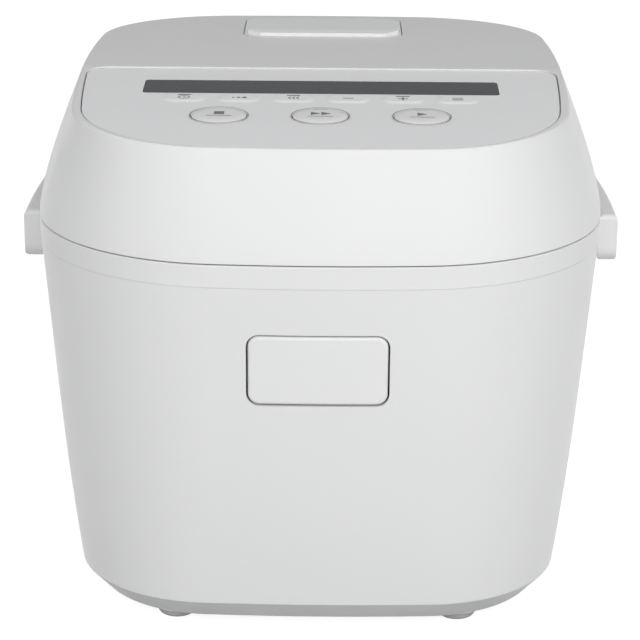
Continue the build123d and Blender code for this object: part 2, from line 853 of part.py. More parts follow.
# ------------------------------------------------------------------ handle
def handle_plan(grow=0.0):
    """Plan of the handle's inside, or of its outside when grown by its thickness."""
    x = handle_inner_x + grow
    reach = handle_reach + grow
    rear_x = x - handle_bow
    with BuildSketch(Plane.XY.offset(pivot_height - handle_width / 2)) as plan:
        with BuildLine():
            Polyline((-x, 0), (-x, -handle_width), (x, -handle_width), (x, 0))
            ThreePointArc((x, 0), (x - handle_bow / 4, reach / 2), (rear_x, reach))
            Line((rear_x, reach), (-rear_x, reach))
            ThreePointArc((-rear_x, reach), (handle_bow / 4 - x, reach / 2), (-x, 0))
        make_face()
        fillet(plan.vertices().group_by(Axis.Y)[-1], handle_corner + grow)
    return plan.sketch


with BuildPart() as handle:
    extrude(handle_plan(handle_thickness), amount=handle_width)
    extrude(handle_plan(), amount=handle_width, mode=Mode.SUBTRACT)
    long_edges = handle.edges().filter_by(
        lambda e: abs(e.bounding_box().min.Z - e.bounding_box().max.Z) < 0.01
    )
    fillet(long_edges, handle_edge)
    # front ends of the arms, seen from the side
    with BuildSketch(Plane.YZ.offset(-seam_width)) as ends:
        with Locations((-handle_width / 2, pivot_height)):
            Rectangle(2 * handle_reach, handle_width, align=(Align.MIN, Align.CENTER))
        fillet(ends.vertices().group_by(Axis.X)[0].sort_by(Axis.Y)[0], handle_nose_bottom)
        fillet(ends.vertices().group_by(Axis.X)[0].sort_by(Axis.Y)[-1], handle_nose_top)
    extrude(amount=2 * seam_width, mode=Mode.INTERSECT)
    for turn in (-90, 90):
        x = math.copysign(handle_inner_x - handle_gap / 2, turn)
        with Locations(Location((x, 0, pivot_height), (0, turn, 0))):
            Cylinder(
                pin_radius + fit_gap,
                handle_gap / 2 + handle_thickness - pin_cover,
                align=(Align.CENTER, Align.CENTER, Align.MIN),
                mode=Mode.SUBTRACT,
            )
handle.part.label = "handle"
export_step(handle.part, "parts/handle.step")

hub_start = seam_width / 2 - hub_flange_depth
for name, turn in (("handle_hub_left", -90), ("handle_hub_right", 90)):
    x = math.copysign(hub_start, turn)
    with BuildPart() as hub:
        with Locations(Location((x, 0, pivot_height), (0, turn, 0))):
            Cylinder(
                hub_radius + hub_flange,
                hub_flange_depth,
                align=(Align.CENTER, Align.CENTER, Align.MIN),
            )
        add(hub_space, mode=Mode.INTERSECT)
        with Locations(Location((x, 0, pivot_height), (0, turn, 0))):
            Cylinder(
                hub_radius,
                handle_inner_x - hub_gap - hub_start,
                align=(Align.CENTER, Align.CENTER, Align.MIN),
            )
            Cylinder(
                pin_radius,
                handle_outer_x - pin_cover - pin_end_gap - hub_start,
                align=(Align.CENTER, Align.CENTER, Align.MIN),
            )
    hub.part.label = name
    export_step(hub.part, f"parts/{name}.step")

# ------------------------------------------------------------------ lid release
release_plane = facing(release_y)
with BuildPart() as release_button:
    with BuildSketch(release_plane):
        with Locations((0, release_z)):
            RectangleRounded(release_width, release_height, release_corner)
    extrude(amount=seam_depth / 2 + release_y)
    add(wall_solid, mode=Mode.INTERSECT)
    fillet(release_button.faces().sort_by(Axis.Y)[0].edges(), release_edge)
    with BuildSketch(release_plane):
        with Locations((-stem_x, release_z), (stem_x, release_z)):
            Circle(stem_radius)
    extrude(amount=-stem_length)
    with BuildSketch(release_plane):
        with Locations((0, release_z)):
            Circle(push_pad_radius)
    extrude(amount=release_y - hook_front + push_gap)
release_button.part.label = "release_button"
export_step(release_button.part, "parts/release_button.step")

with BuildPart() as latch_frame:
    with BuildSketch(facing(frame_front)):
        with Locations((0, deck_bottom)):
            Rectangle(
                latch_frame_width,
                deck_bottom - release_z + latch_frame_skirt,
                align=(Align.CENTER, Align.MAX),
            )
    extrude(amount=-latch_frame_wall)
    with BuildSketch(facing(frame_front)):
        with Locations((-stem_x, release_z), (stem_x, release_z)):
            Circle(stem_radius + latch_frame_wall)
    extrude(amount=latch_guide_length)
    ear_x = hook_width / 2 + latch_ear_gap + latch_ear / 2
    with BuildSketch(facing(frame_front)):
        with Locations((-ear_x, hook_z), (ear_x, hook_z)):
            Rectangle(latch_ear, latch_ear_height)
    extrude(amount=latch_ear_depth)
    with BuildSketch(facing(frame_front + latch_frame_wall)):
        with Locations((-stem_x, release_z), (stem_x, release_z)):
            Circle(stem_radius + fit_gap)
    extrude(amount=latch_frame_wall + latch_guide_length, mode=Mode.SUBTRACT)
    with BuildSketch(side(-hook_width)):
        with Locations((hook_pin_y, hook_z)):
            Circle(hook_pin_radius + fit_gap)
    extrude(amount=2 * hook_width, mode=Mode.SUBTRACT)
latch_frame.part.label = "latch_frame"
export_step(latch_frame.part, "parts/latch_frame.step")

with BuildPart() as latch_hook:
    with BuildSketch(side(-hook_width / 2)):
        with BuildLine():
            Polyline(
                (hook_front, release_z - hook_drop),
                (hook_back, release_z - hook_drop),
                (hook_back, catch_top + spring_gap),
                (nose_tip, catch_top + spring_gap + hook_nose_lead),
                (nose_tip, catch_top + spring_gap + hook_nose_lead + hook_nose_height),
                (hook_back - hook_thickness / 4, catch_top + hook_head),
                (hook_front, catch_top + hook_head),
                close=True,
            )
        make_face()
        with Locations((hook_pin_y, hook_z)):
            Circle(hook_eye_radius)
            Circle(hook_pin_radius + fit_gap, mode=Mode.SUBTRACT)
    extrude(amount=hook_width)
latch_hook.part.label = "latch_hook"
export_step(latch_hook.part, "parts/latch_hook.step")

latch_pin_length = hook_width + 2 * (latch_ear_gap + latch_ear) + 2
with BuildPart() as latch_pin:
    with BuildSketch(side(-latch_pin_length / 2)):
        with Locations((hook_pin_y, hook_z)):
            Circle(hook_pin_radius)
    extrude(amount=latch_pin_length)
latch_pin.part.label = "latch_pin"
export_step(latch_pin.part, "parts/latch_pin.step")

with BuildPart() as release_springs:
    end_gap = release_spring_wire + slide_gap
    length = latch_frame_setback - latch_guide_length - 2 * end_gap
    for x in mirrored:
        start = (x * stem_x, body_y + release_y + end_gap, release_z)
        radius = stem_radius + 2 * release_spring_wire + spring_gap
        add(spring(start, (0, 1, 0), radius, release_spring_wire, release_spring_turns, length))
release_springs.part.label = "release_springs"
export_step(release_springs.part, "parts/release_springs.step")

# ------------------------------------------------------------------ hinge
arm_thickness = hinge_z + knuckle_radius - lid_base_top
arm_front = hinge_y - hinge_arm_length
with BuildPart() as hinge_foot:
    add(hinge_barrel(deck_top, seam_z))
    add(rim_form(body_wall + rest_gap), mode=Mode.INTERSECT)
with BuildPart() as hinge_housing:
    add(hinge_barrel(seam_z, hinge_z + hinge_radius))
    add(lid_solid, mode=Mode.INTERSECT)
    add(hinge_foot.part)
    for x in (-bay_start - bay_length, bay_start):
        with BuildSketch(side(x)):
            with Locations((hinge_y, hinge_z)):
                Circle(knuckle_radius + slot_gap)
            with Locations((hinge_y + knuckle_radius + slot_gap, lid_base_top - slot_gap)):
                Rectangle(3 * hinge_radius, 2 * hinge_radius, align=(Align.MAX, Align.MIN))
        extrude(amount=bay_length, mode=Mode.SUBTRACT)
    with BuildSketch(side(-hinge_pin_end - rest_gap)):
        with Locations((hinge_y, hinge_z)):
            Circle(hinge_pin_radius + fit_gap)
    extrude(amount=2 * (hinge_pin_end + rest_gap), mode=Mode.SUBTRACT)
hinge_housing.part.label = "hinge_housing"
export_step(hinge_housing.part, "parts/hinge_housing.step")

with BuildPart() as hinge_pin:
    with BuildSketch(side(-hinge_pin_end)):
        with Locations((hinge_y, hinge_z)):
            Circle(hinge_pin_radius)
    extrude(amount=2 * hinge_pin_end)
hinge_pin.part.label = "hinge_pin"
export_step(hinge_pin.part, "parts/hinge_pin.step")

with BuildPart() as hinge_springs:
    radius = hinge_pin_radius + 2 * hinge_spring_wire + rest_gap
    length = spring_bay - 2 * hinge_spring_gap
    for x in mirrored:
        start = x * (knuckle_x + knuckle_width / 2 + hinge_spring_gap)
        centre = (start, body_y + hinge_y, hinge_z)
        add(spring(centre, (x, 0, 0), radius, hinge_spring_wire, hinge_spring_turns, length))
hinge_springs.part.label = "hinge_springs"
export_step(hinge_springs.part, "parts/hinge_springs.step")

for name, x in (("hinge_arm_left", -knuckle_x), ("hinge_arm_right", knuckle_x)):
    with BuildPart() as arm:
        with BuildSketch(side(x - knuckle_width / 2)):
            with Locations((hinge_y, hinge_z)):
                Circle(knuckle_radius)
            with Locations((hinge_y, lid_base_top)):
                Rectangle(hinge_y - arm_front, arm_thickness, align=(Align.MAX, Align.MIN))
            with Locations((hinge_y, hinge_z)):
                Circle(hinge_pin_radius + fit_gap, mode=Mode.SUBTRACT)
        extrude(amount=knuckle_width)
        with BuildSketch(level(lid_base_top)):
            with Locations((x, arm_front)):
                Rectangle(2 * knuckle_width, knuckle_width, align=(Align.CENTER, Align.MIN))
        extrude(amount=arm_thickness / 2)
    arm.part.label = name
    export_step(arm.part, f"parts/{name}.step")

# ------------------------------------------------------------------ lid shell
vent_floor = lid_top_z(vent_y) - vent_pocket
chamber_bottom = vent_floor - vent_chamber_height
with BuildPart() as lid_hollow:
    add(lid_form(lid_wall, panel_thickness + lid_wall))
    add(hinge_zone(hinge_clearance + lid_wall, hinge_notch_rise + lid_wall), mode=Mode.SUBTRACT)
    with BuildSketch(level(vent_floor - lid_wall)):
        with Locations((0, vent_y)):
            RectangleRounded(
                vent_width + 2 * (slide_gap + lid_wall),
                vent_depth + 2 * (slide_gap + lid_wall),
                vent_corner + lid_wall,
            )
    extrude(amount=lid_front_height, mode=Mode.SUBTRACT)
    with BuildSketch(level(lid_base_top)):
        with Locations(*lid_screw_points):
            Circle(boss_radius)
    extrude(amount=lid_front_height, mode=Mode.SUBTRACT)

with BuildPart() as lid_cover:
    add(lid_solid)
    split(bisect_by=Plane.XY.offset(lid_bottom), keep=Keep.TOP)
    add(lid_hollow.part, mode=Mode.SUBTRACT)
    add(hinge_zone(hinge_clearance, hinge_notch_rise), mode=Mode.SUBTRACT)
    for x in (-knuckle_x, knuckle_x):
        with BuildSketch(level(lid_base_top)):
            with Locations((x, hinge_y - 2 * hinge_radius)):
                Rectangle(
                    knuckle_width + 2 * slot_gap, 2 * hinge_radius, align=(Align.CENTER, Align.MIN)
                )
        extrude(amount=arm_thickness + slot_gap, mode=Mode.SUBTRACT)
    add(panel_block(0, -panel_thickness, panel_thickness), mode=Mode.SUBTRACT)
    add(panel_block(panel_ledge, -4 * panel_thickness, 0), mode=Mode.SUBTRACT)
    with BuildSketch(level(vent_floor)):
        with Locations((0, vent_y)):
            RectangleRounded(
                vent_width + 2 * slide_gap, vent_depth + 2 * slide_gap, vent_corner + slide_gap
            )
    extrude(amount=3 * vent_pocket, mode=Mode.SUBTRACT)
    with BuildSketch(level(vent_floor)):
        with Locations((0, vent_y)):
            RectangleRounded(
                vent_width - 2 * vent_ledge + 2 * slide_gap,
                vent_depth - 2 * vent_ledge + 2 * slide_gap,
                vent_corner - vent_ledge + slide_gap,
            )
    extrude(amount=-3 * lid_wall, mode=Mode.SUBTRACT)
    with BuildSketch(level(lid_base_top)):
        with Locations(*lid_screw_points):
            Circle(screw_radius + rest_gap)
    extrude(amount=screw_grip + screw_end_gap, mode=Mode.SUBTRACT)
lid_cover.part.label = "lid_cover"
export_step(lid_cover.part, "parts/lid_cover.step")

# ------------------------------------------------------------------ control panel
key_marks = [(x, y + key_depth / 2 - indicator_from_edge) for x, y in key_points[::2]]
with BuildPart() as control_panel:
    add(panel_block(panel_groove, -panel_thickness, 0))
    for point in key_points:
        with BuildSketch(on_panel(-key_root)):
            with Locations(point):
                RectangleRounded(key_width, key_depth, key_corner)
        with BuildSketch(on_panel(key_proud)):
            with Locations(point):
                RectangleRounded(
                    key_width - 2 * key_slope, key_depth - 2 * key_slope, key_corner - key_slope
                )
        loft()
    with BuildSketch(on_panel(-panel_thickness)):
        with Locations(*button_points.values()):
            Circle(button_radius + slide_gap)
    extrude(amount=2 * panel_thickness, mode=Mode.SUBTRACT)
    with BuildSketch(on_panel(-window_thickness)):
        with Locations((0, window_from_front)):
            RectangleRounded(
                window_width + rest_gap, window_depth + rest_gap, window_corner + rest_gap / 2
            )
    extrude(amount=2 * window_thickness, mode=Mode.SUBTRACT)
    with BuildSketch(on_panel(-panel_thickness)):
        with Locations((0, window_from_front)):
            Rectangle(window_width - 2 * window_frame, window_depth - window_frame)
    extrude(amount=panel_thickness, mode=Mode.SUBTRACT)
    with BuildSketch(on_panel(key_proud - indicator_thickness)):
        with Locations(*key_marks):
            Rectangle(indicator_width, indicator_depth)
    extrude(amount=indicator_thickness, mode=Mode.SUBTRACT)
    # posts that carry the switch board
    with BuildSketch(on_panel(-board_drop)):
        with Locations((0, board_from_front)):
            with GridLocations(
                board_width - 2 * board_post_inset, board_depth - 2 * board_post_inset, 2, 2
            ):
                Circle(board_post_radius)
    extrude(amount=board_drop - panel_thickness)
control_panel.part.label = "control_panel"
export_step(control_panel.part, "parts/control_panel.step")

with BuildPart() as key_indicators:
    with BuildSketch(on_panel(key_proud - indicator_thickness)):
        with Locations(*key_marks):
            Rectangle(indicator_width - rest_gap, indicator_depth - rest_gap)
    extrude(amount=indicator_thickness)
key_indicators.part.label = "key_indicators"
export_step(key_indicators.part, "parts/key_indicators.step")

with BuildPart() as display_window:
    with BuildSketch(on_panel(-window_thickness)):
        with Locations((0, window_from_front)):
            RectangleRounded(window_width, window_depth, window_corner)
    extrude(amount=window_thickness)
display_window.part.label = "display_window"
export_step(display_window.part, "parts/display_window.step")

with BuildPart() as display_module:
    with BuildSketch(on_panel(-board_drop)):
        with Locations((0, window_from_front)):
            Rectangle(
                window_width - 2 * (window_frame + display_gap),
                window_depth - window_frame - 2 * display_gap,
            )
    extrude(amount=board_drop - window_thickness - contact_gap)
display_module.part.label = "display_module"
export_step(display_module.part, "parts/display_module.step")

with BuildPart() as switch_board:
    with BuildSketch(on_panel(-board_drop - board_thickness)):
        with Locations((0, board_from_front)):
            RectangleRounded(board_width, board_depth, board_corner)
    extrude(amount=board_thickness)
switch_board.part.label = "switch_board"
export_step(switch_board.part, "parts/switch_board.step")

stem_end = -board_drop + switch_height + button_travel + contact_gap
with BuildPart() as touch_switches:
    with BuildSketch(on_panel(-board_drop)):
        with Locations(*button_points.values(), *key_points):
            Rectangle(switch_size, switch_size)
    extrude(amount=switch_height - switch_stem)
    with BuildSketch(on_panel(-board_drop)):
        with Locations(*button_points.values()):
            Circle(switch_stem_radius)
    extrude(amount=switch_height)
    with BuildSketch(on_panel(-board_drop)):
        with Locations(*key_points):
            Circle(switch_stem_radius)
    extrude(amount=board_drop - panel_thickness - contact_gap)
touch_switches.part.label = "touch_switches"
export_step(touch_switches.part, "parts/touch_switches.step")

button_top = button_proud + button_dome
flange_bottom = -panel_thickness - button_flange_thickness
for name, (x, y) in button_points.items():
    centre = panel_plane.from_local_coords(Vector(x, y, 0))
    across = Vector(1, 0, 0)
    section = Plane(origin=centre, x_dir=across, z_dir=across.cross(panel_plane.z_dir))
    mark_point = (x, y + button_mark_y)
    has_mark = name != "cancel_button"
    with BuildPart() as button:
        with BuildSketch(section):
            with BuildLine():
                TangentArc(
                    (button_flat_radius, button_top), (button_radius, button_proud), tangent=(1, 0)
                )
                Polyline(
                    (button_radius, button_proud),
                    (button_radius, -panel_thickness),
                    (button_radius + button_flange, -panel_thickness),
                    (button_radius + button_flange, flange_bottom),
                    (button_stem_radius, flange_bottom),
                    (button_stem_radius, stem_end),
                    (0, stem_end),
                    (0, button_top),
                    (button_flat_radius, button_top),
                )
            make_face()
        revolve(axis=Axis(centre, -panel_plane.z_dir))
        if has_mark:
            with BuildSketch(on_panel(button_top - indicator_seat)):
                with Locations(mark_point):
                    Rectangle(indicator_width, indicator_depth)
            extrude(amount=indicator_seat, mode=Mode.SUBTRACT)
    button.part.label = name
    export_step(button.part, f"parts/{name}.step")
    if has_mark:
        with BuildPart() as mark:
            with BuildSketch(on_panel(button_top - indicator_seat)):
                with Locations(mark_point):
                    Rectangle(indicator_width - rest_gap, indicator_depth - rest_gap)
            extrude(amount=indicator_thickness)
        mark.part.label = name.replace("button", "light")
        export_step(mark.part, f"parts/{mark.part.label}.step")

# ------------------------------------------------------------------ steam path
crest_start = vent_y - vent_depth / 2 + vent_crest_start
crest_top_end = crest_start + vent_crest_top
crest_end = crest_top_end + vent_crest_back
with BuildPart() as vent_crest:
    with BuildSketch(side(-vent_width / 2)):
        with BuildLine():
            Polyline(
                (crest_start, vent_floor),
                (crest_start, lid_top_z(crest_start) + vent_crest_front),
                (crest_top_end, lid_top_z(crest_top_end) + vent_crest_height),
                (crest_end, lid_top_z(crest_end)),
                (crest_end, vent_floor),
                close=True,
            )
        make_face()
    extrude(amount=vent_width)
    # seen from above, the crest widens from its front edge to its back slope
    with BuildSketch(level(vent_floor)):
        with BuildLine():
            Polyline(
                (-vent_crest_width / 2, crest_start),
                (vent_crest_width / 2, crest_start),
                (vent_width / 2 - vent_skin, crest_top_end),
                (vent_width / 2 - vent_skin, crest_end),
                (vent_skin - vent_width / 2, crest_end),
                (vent_skin - vent_width / 2, crest_top_end),
                close=True,
            )
        make_face()
    extrude(amount=3 * vent_pocket, mode=Mode.INTERSECT)

with BuildPart() as steam_vent_cap:
    with BuildSketch(level(vent_floor)):
        with Locations((0, vent_y)):
            RectangleRounded(vent_width, vent_depth, vent_corner)
    extrude(amount=3 * vent_pocket)
    add(lid_solid, mode=Mode.INTERSECT)
    with BuildSketch(level(chamber_bottom)):
        with Locations((0, vent_y)):
            RectangleRounded(
                vent_width - 2 * vent_ledge, vent_depth - 2 * vent_ledge, vent_corner - vent_ledge
            )
    extrude(amount=vent_chamber_height)
    add(vent_crest.part)
    with BuildSketch(level(chamber_bottom + vent_skin)):
        with Locations((0, vent_y)):
            RectangleRounded(
                vent_width - 2 * (vent_ledge + vent_skin),
                vent_depth - 2 * (vent_ledge + vent_skin),
                vent_corner - vent_ledge - vent_skin,
            )
    extrude(amount=vent_chamber_height - vent_skin + vent_pocket - vent_roof, mode=Mode.SUBTRACT)
    # steam outlets in the crest's back slope
    with BuildSketch(level(vent_floor)):
        with Locations((0, crest_top_end + vent_crest_back / 2)):
            with GridLocations(vent_slot_pitch, vent_slot_depth, vent_slots, 1):
                RectangleRounded(vent_slot_width, vent_slot_depth, vent_slot_depth / 3)
    extrude(amount=3 * vent_pocket, mode=Mode.SUBTRACT)
    with BuildSketch(level(chamber_bottom)):
        with Locations((0, duct_outlet_y)):
            Circle(duct_radius - duct_wall)
    extrude(amount=vent_skin, mode=Mode.SUBTRACT)
steam_vent_cap.part.label = "steam_vent_cap"
export_step(steam_vent_cap.part, "parts/steam_vent_cap.step")

duct_front = duct_y - duct_end_margin
duct_length = duct_outlet_y + duct_end_margin - duct_front
duct_height = chamber_bottom - vent_duct_gap - lid_base_top
with BuildPart() as steam_duct:
    with BuildSketch(level(lid_base_top)):
        with Locations((0, duct_front)):
            Rectangle(duct_width, duct_length, align=(Align.CENTER, Align.MIN))
    extrude(amount=duct_height)
    with BuildSketch(level(inner_lid_top)):
        with Locations((0, duct_y)):
            Circle(duct_radius + duct_wall)
    extrude(amount=lid_base_top - inner_lid_top)
    with BuildSketch(level(lid_base_top + duct_wall)):
        with Locations((0, duct_front + duct_wall)):
            Rectangle(
                duct_width - 2 * duct_wall,
                duct_length - 2 * duct_wall,
                align=(Align.CENTER, Align.MIN),
            )
    extrude(amount=duct_height - 2 * duct_wall, mode=Mode.SUBTRACT)
    with BuildSketch(level(inner_lid_top)):
        with Locations((0, duct_y)):
            Circle(duct_radius)
    extrude(amount=lid_base_top + duct_wall - inner_lid_top, mode=Mode.SUBTRACT)
    with BuildSketch(level(lid_base_top + duct_height - duct_wall)):
        with Locations((0, duct_outlet_y)):
            Circle(duct_radius)
    extrude(amount=duct_wall, mode=Mode.SUBTRACT)
steam_duct.part.label = "steam_duct"
export_step(steam_duct.part, "parts/steam_duct.step")

# ------------------------------------------------------------------ underside of the lid
base_share = ((lid_base_top - seam_z) / (lid_front_z - seam_z)) ** lid_swell
lid_base_outline = inset(blend(seam_outline, top_outline, base_share), lid_wall + rest_gap)
with BuildPart() as lid_base:
    extrude(outline(level(lid_base_bottom), lid_base_outline), amount=lid_base_thickness)
    hinge_wall = hinge_clearance + lid_wall + rest_gap
    add(hinge_zone(hinge_wall, hinge_notch_rise), mode=Mode.SUBTRACT)
    with BuildSketch(level(inner_lid_bottom - stud_proud)):
        Circle(stud_radius)
    extrude(amount=inner_lid_drop + stud_proud)
    with BuildSketch(level(lid_base_bottom)):
        with Locations((0, duct_y)):
            Circle(duct_radius + duct_wall + rest_gap)
        with Locations((lid_sensor_x, lid_sensor_y)):
            Circle(lid_sensor_radius + rest_gap)
        with Locations((0, catch_front)):
            Rectangle(hook_slot, lid_slot_depth, align=(Align.CENTER, Align.MAX))
        with Locations(*lid_screw_points):
            Circle(screw_radius + rest_gap)
    extrude(amount=lid_base_thickness, mode=Mode.SUBTRACT)
    with BuildSketch(level(lid_base_bottom)):
        with Locations(*lid_screw_points):
            Circle(screw_head_radius + rest_gap)
    extrude(amount=screw_head, mode=Mode.SUBTRACT)
lid_base.part.label = "lid_base"
export_step(lid_base.part, "parts/lid_base.step")

with BuildPart() as lid_screws:
    with BuildSketch(level(lid_base_bottom)):
        with Locations(*lid_screw_points):
            Circle(screw_head_radius)
    extrude(amount=screw_head)
    with BuildSketch(level(lid_base_bottom)):
        with Locations(*lid_screw_points):
            Circle(screw_radius)
    extrude(amount=lid_base_thickness + screw_grip)
    with BuildSketch(level(lid_base_bottom)):
        with Locations(*lid_screw_points):
            Rectangle(cross_width, cross_slot)
            Rectangle(cross_slot, cross_width)
    extrude(amount=cross_depth, mode=Mode.SUBTRACT)
lid_screws.part.label = "lid_screws"
export_step(lid_screws.part, "parts/lid_screws.step")

with BuildPart() as lid_catch:
    with BuildSketch(level(lid_base_top)):
        with Locations((0, catch_front)):
            Rectangle(2 * hook_width, catch_depth, align=(Align.CENTER, Align.MIN))
    extrude(amount=catch_thickness)
    with BuildSketch(level(lid_base_top)):
        with Locations((0, catch_front + catch_depth / 2)):
            with GridLocations(catch_rivet_pitch, catch_depth, 2, 1):
                Circle(catch_rivet_radius)
    extrude(amount=2 * catch_thickness)
lid_catch.part.label = "lid_catch"
export_step(lid_catch.part, "parts/lid_catch.step")

lip_bottom = pot_top + gasket_lip_gap
with BuildPart() as lid_gasket:
    with BuildSketch(side()):
        with BuildLine():
            Polyline(
                (gasket_inner_radius, lid_base_bottom),
                (gasket_inner_radius, inner_lid_bottom + gasket_web),
                (gasket_inner_radius + gasket_step, inner_lid_bottom + gasket_web),
                (gasket_inner_radius + gasket_lip_start, lip_bottom),
                (gasket_inner_radius + gasket_lip_end, lip_bottom),
                (gasket_outer_radius, inner_lid_bottom + 2 * gasket_web),
                (gasket_outer_radius, lid_base_bottom),
                close=True,
            )
        make_face()
    revolve(axis=pot_axis)
lid_gasket.part.label = "lid_gasket"
export_step(lid_gasket.part, "parts/lid_gasket.step")

with BuildPart() as inner_lid:
    with BuildSketch(level(inner_lid_bottom)):
        Circle(inner_lid_radius)
        Circle(stud_radius + grommet_seat, mode=Mode.SUBTRACT)
        with Locations((0, duct_y)):
            with PolarLocations(steam_hole_ring, steam_holes):
                Circle(steam_hole_radius, mode=Mode.SUBTRACT)
        with Locations((lid_sensor_x, lid_sensor_y)):
            Circle(lid_sensor_radius + lid_sensor_gap, mode=Mode.SUBTRACT)
    extrude(amount=inner_lid_thickness)
inner_lid.part.label = "inner_lid"
export_step(inner_lid.part, "parts/inner_lid.step")

grommet_radius = stud_radius + grommet_seat + grommet_lip
with BuildPart() as inner_lid_grommet:
    with BuildSketch(side()):
        with BuildLine():
            Polyline(
                (stud_radius + fit_gap, inner_lid_bottom - grommet_proud),
                (grommet_radius, inner_lid_bottom - grommet_proud),
                (grommet_radius, inner_lid_bottom),
                (stud_radius + grommet_seat - fit_gap, inner_lid_bottom),
                (stud_radius + grommet_seat - fit_gap, inner_lid_top),
                (grommet_radius, inner_lid_top),
                (grommet_radius, lid_base_bottom),
                (stud_radius + fit_gap, lid_base_bottom),
                close=True,
            )
        make_face()
    revolve(axis=pot_axis)
inner_lid_grommet.part.label = "inner_lid_grommet"
export_step(inner_lid_grommet.part, "parts/inner_lid_grommet.step")

with BuildPart() as lid_sensor:
    with BuildSketch(level(inner_lid_bottom - lid_sensor_proud)):
        with Locations((lid_sensor_x, lid_sensor_y)):
            Circle(lid_sensor_radius)
    extrude(amount=lid_base_top - inner_lid_bottom + lid_sensor_proud)
    with BuildSketch(level(lid_base_top)):
        with Locations((lid_sensor_x, lid_sensor_y)):
            Circle(lid_sensor_radius + lid_sensor_flange)
    extrude(amount=lid_sensor_plate)
lid_sensor.part.label = "lid_sensor"
export_step(lid_sensor.part, "parts/lid_sensor.step")

# ------------------------------------------------------------------ electrics
inlet_face = base_depth / 2
with BuildPart() as power_inlet:
    with BuildSketch(facing(inlet_face)):
        with Locations((inlet_x, inlet_z)):
            RectangleRounded(inlet_width, inlet_height, inlet_corner)
    extrude(amount=inlet_depth)
    with BuildSketch(facing(inlet_face)):
        with Locations((inlet_x, inlet_z)):
            RectangleRounded(
                inlet_width - 2 * inlet_wall, inlet_height - 2 * inlet_wall, inlet_corner / 2
            )
    extrude(amount=inlet_depth - inlet_floor, mode=Mode.SUBTRACT)
power_inlet.part.label = "power_inlet"
export_step(power_inlet.part, "parts/power_inlet.step")

with BuildPart() as inlet_pins:
    with BuildSketch(facing(inlet_face - inlet_depth + inlet_floor)):
        with Locations((inlet_x - inlet_pin_x, inlet_z), (inlet_x + inlet_pin_x, inlet_z)):
            RectangleRounded(inlet_pin_width, inlet_pin_height, inlet_pin_width / 3)
    extrude(amount=-inlet_pin_length)
inlet_pins.part.label = "inlet_pins"
export_step(inlet_pins.part, "parts/inlet_pins.step")

with BuildPart() as power_board:
    with BuildSketch(level(wall_bottom)):
        with Locations((0, power_board_y)):
            RectangleRounded(power_board_width, power_board_depth, power_board_corner)
    extrude(amount=board_thickness)
power_board.part.label = "power_board"
export_step(power_board.part, "parts/power_board.step")

board_top = wall_bottom + board_thickness
with BuildPart() as board_components:
    for x, y, width, depth, height in power_blocks:
        with BuildSketch(level(board_top)):
            with Locations((x, power_board_y + y)):
                Rectangle(width, depth)
        extrude(amount=height)
    with BuildSketch(level(board_top)):
        with Locations(*[(x, power_board_y + y) for x, y in capacitor_points]):
            Circle(capacitor_radius)
    extrude(amount=capacitor_height)
board_components.part.label = "board_components"
export_step(board_components.part, "parts/board_components.step")

with BuildPart() as thermal_fuse:
    with BuildSketch(side(-fuse_length / 2)):
        with Locations((plate_radius / 2, plate_bottom - fuse_radius - fuse_drop)):
            Circle(fuse_radius)
    extrude(amount=fuse_length)
    with BuildSketch(side(-fuse_clip_width / 2)):
        with Locations((plate_radius / 2, plate_bottom)):
            Rectangle(3 * fuse_radius, fuse_radius + fuse_drop, align=(Align.CENTER, Align.MAX))
    extrude(amount=fuse_clip_width)
thermal_fuse.part.label = "thermal_fuse"
export_step(thermal_fuse.part, "parts/thermal_fuse.step")
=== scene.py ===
# %% [markdown]
# # A compact rice cooker
# This lesson dresses a rice cooker that was drawn in CAD. The CAD file already has every
# rigid piece at its real size, so the steps below give the pieces their finishes, add the
# small printed and pressed details, and light the result like a product on a pale table.

# %% Load the rice cooker
import json
import math

import bmesh
import bpy
from mathutils import Matrix, Vector


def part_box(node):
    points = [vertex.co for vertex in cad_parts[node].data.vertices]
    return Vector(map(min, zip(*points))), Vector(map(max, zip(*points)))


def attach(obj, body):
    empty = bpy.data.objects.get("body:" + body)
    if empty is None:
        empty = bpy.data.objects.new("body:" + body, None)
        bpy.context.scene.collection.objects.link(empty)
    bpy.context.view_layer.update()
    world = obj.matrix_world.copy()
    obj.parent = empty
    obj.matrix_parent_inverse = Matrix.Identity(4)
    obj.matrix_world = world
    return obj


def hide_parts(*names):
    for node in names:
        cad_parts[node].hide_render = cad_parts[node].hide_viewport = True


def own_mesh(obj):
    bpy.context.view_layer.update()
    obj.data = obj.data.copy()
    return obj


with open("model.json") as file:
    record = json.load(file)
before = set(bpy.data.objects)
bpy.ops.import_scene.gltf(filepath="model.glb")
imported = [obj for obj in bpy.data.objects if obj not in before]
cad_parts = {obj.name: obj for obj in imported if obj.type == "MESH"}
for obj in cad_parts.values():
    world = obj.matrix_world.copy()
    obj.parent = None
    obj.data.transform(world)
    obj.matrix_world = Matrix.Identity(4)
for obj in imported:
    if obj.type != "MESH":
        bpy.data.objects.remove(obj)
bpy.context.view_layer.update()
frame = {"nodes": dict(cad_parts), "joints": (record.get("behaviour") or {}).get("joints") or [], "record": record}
nodes = frame["nodes"]


def put_in_scene(name, data):
    """New object with this data, at the origin of the scene."""
    new_object = bpy.data.objects.new(name, data)
    bpy.context.scene.collection.objects.link(new_object)
    return new_object


# %% [markdown]
# The camera stands in front of the cooker and a little above it, about a metre away. A long
# lens keeps the verticals calm, as catalogue pictures of kitchen appliances do. The camera
# is placed by an aim point near the middle of the housing, a distance and an elevation, and
# then turned by a hair about its own axis.

# %% Camera
aim_point = Vector((0.0, -0.009, 0.08598))
camera_distance = 1.0
camera_elevation = math.radians(18.55)
camera_turn = math.radians(0.29)
camera_roll = math.radians(0.41)
lens_length, sensor_width = 138.56, 36.0

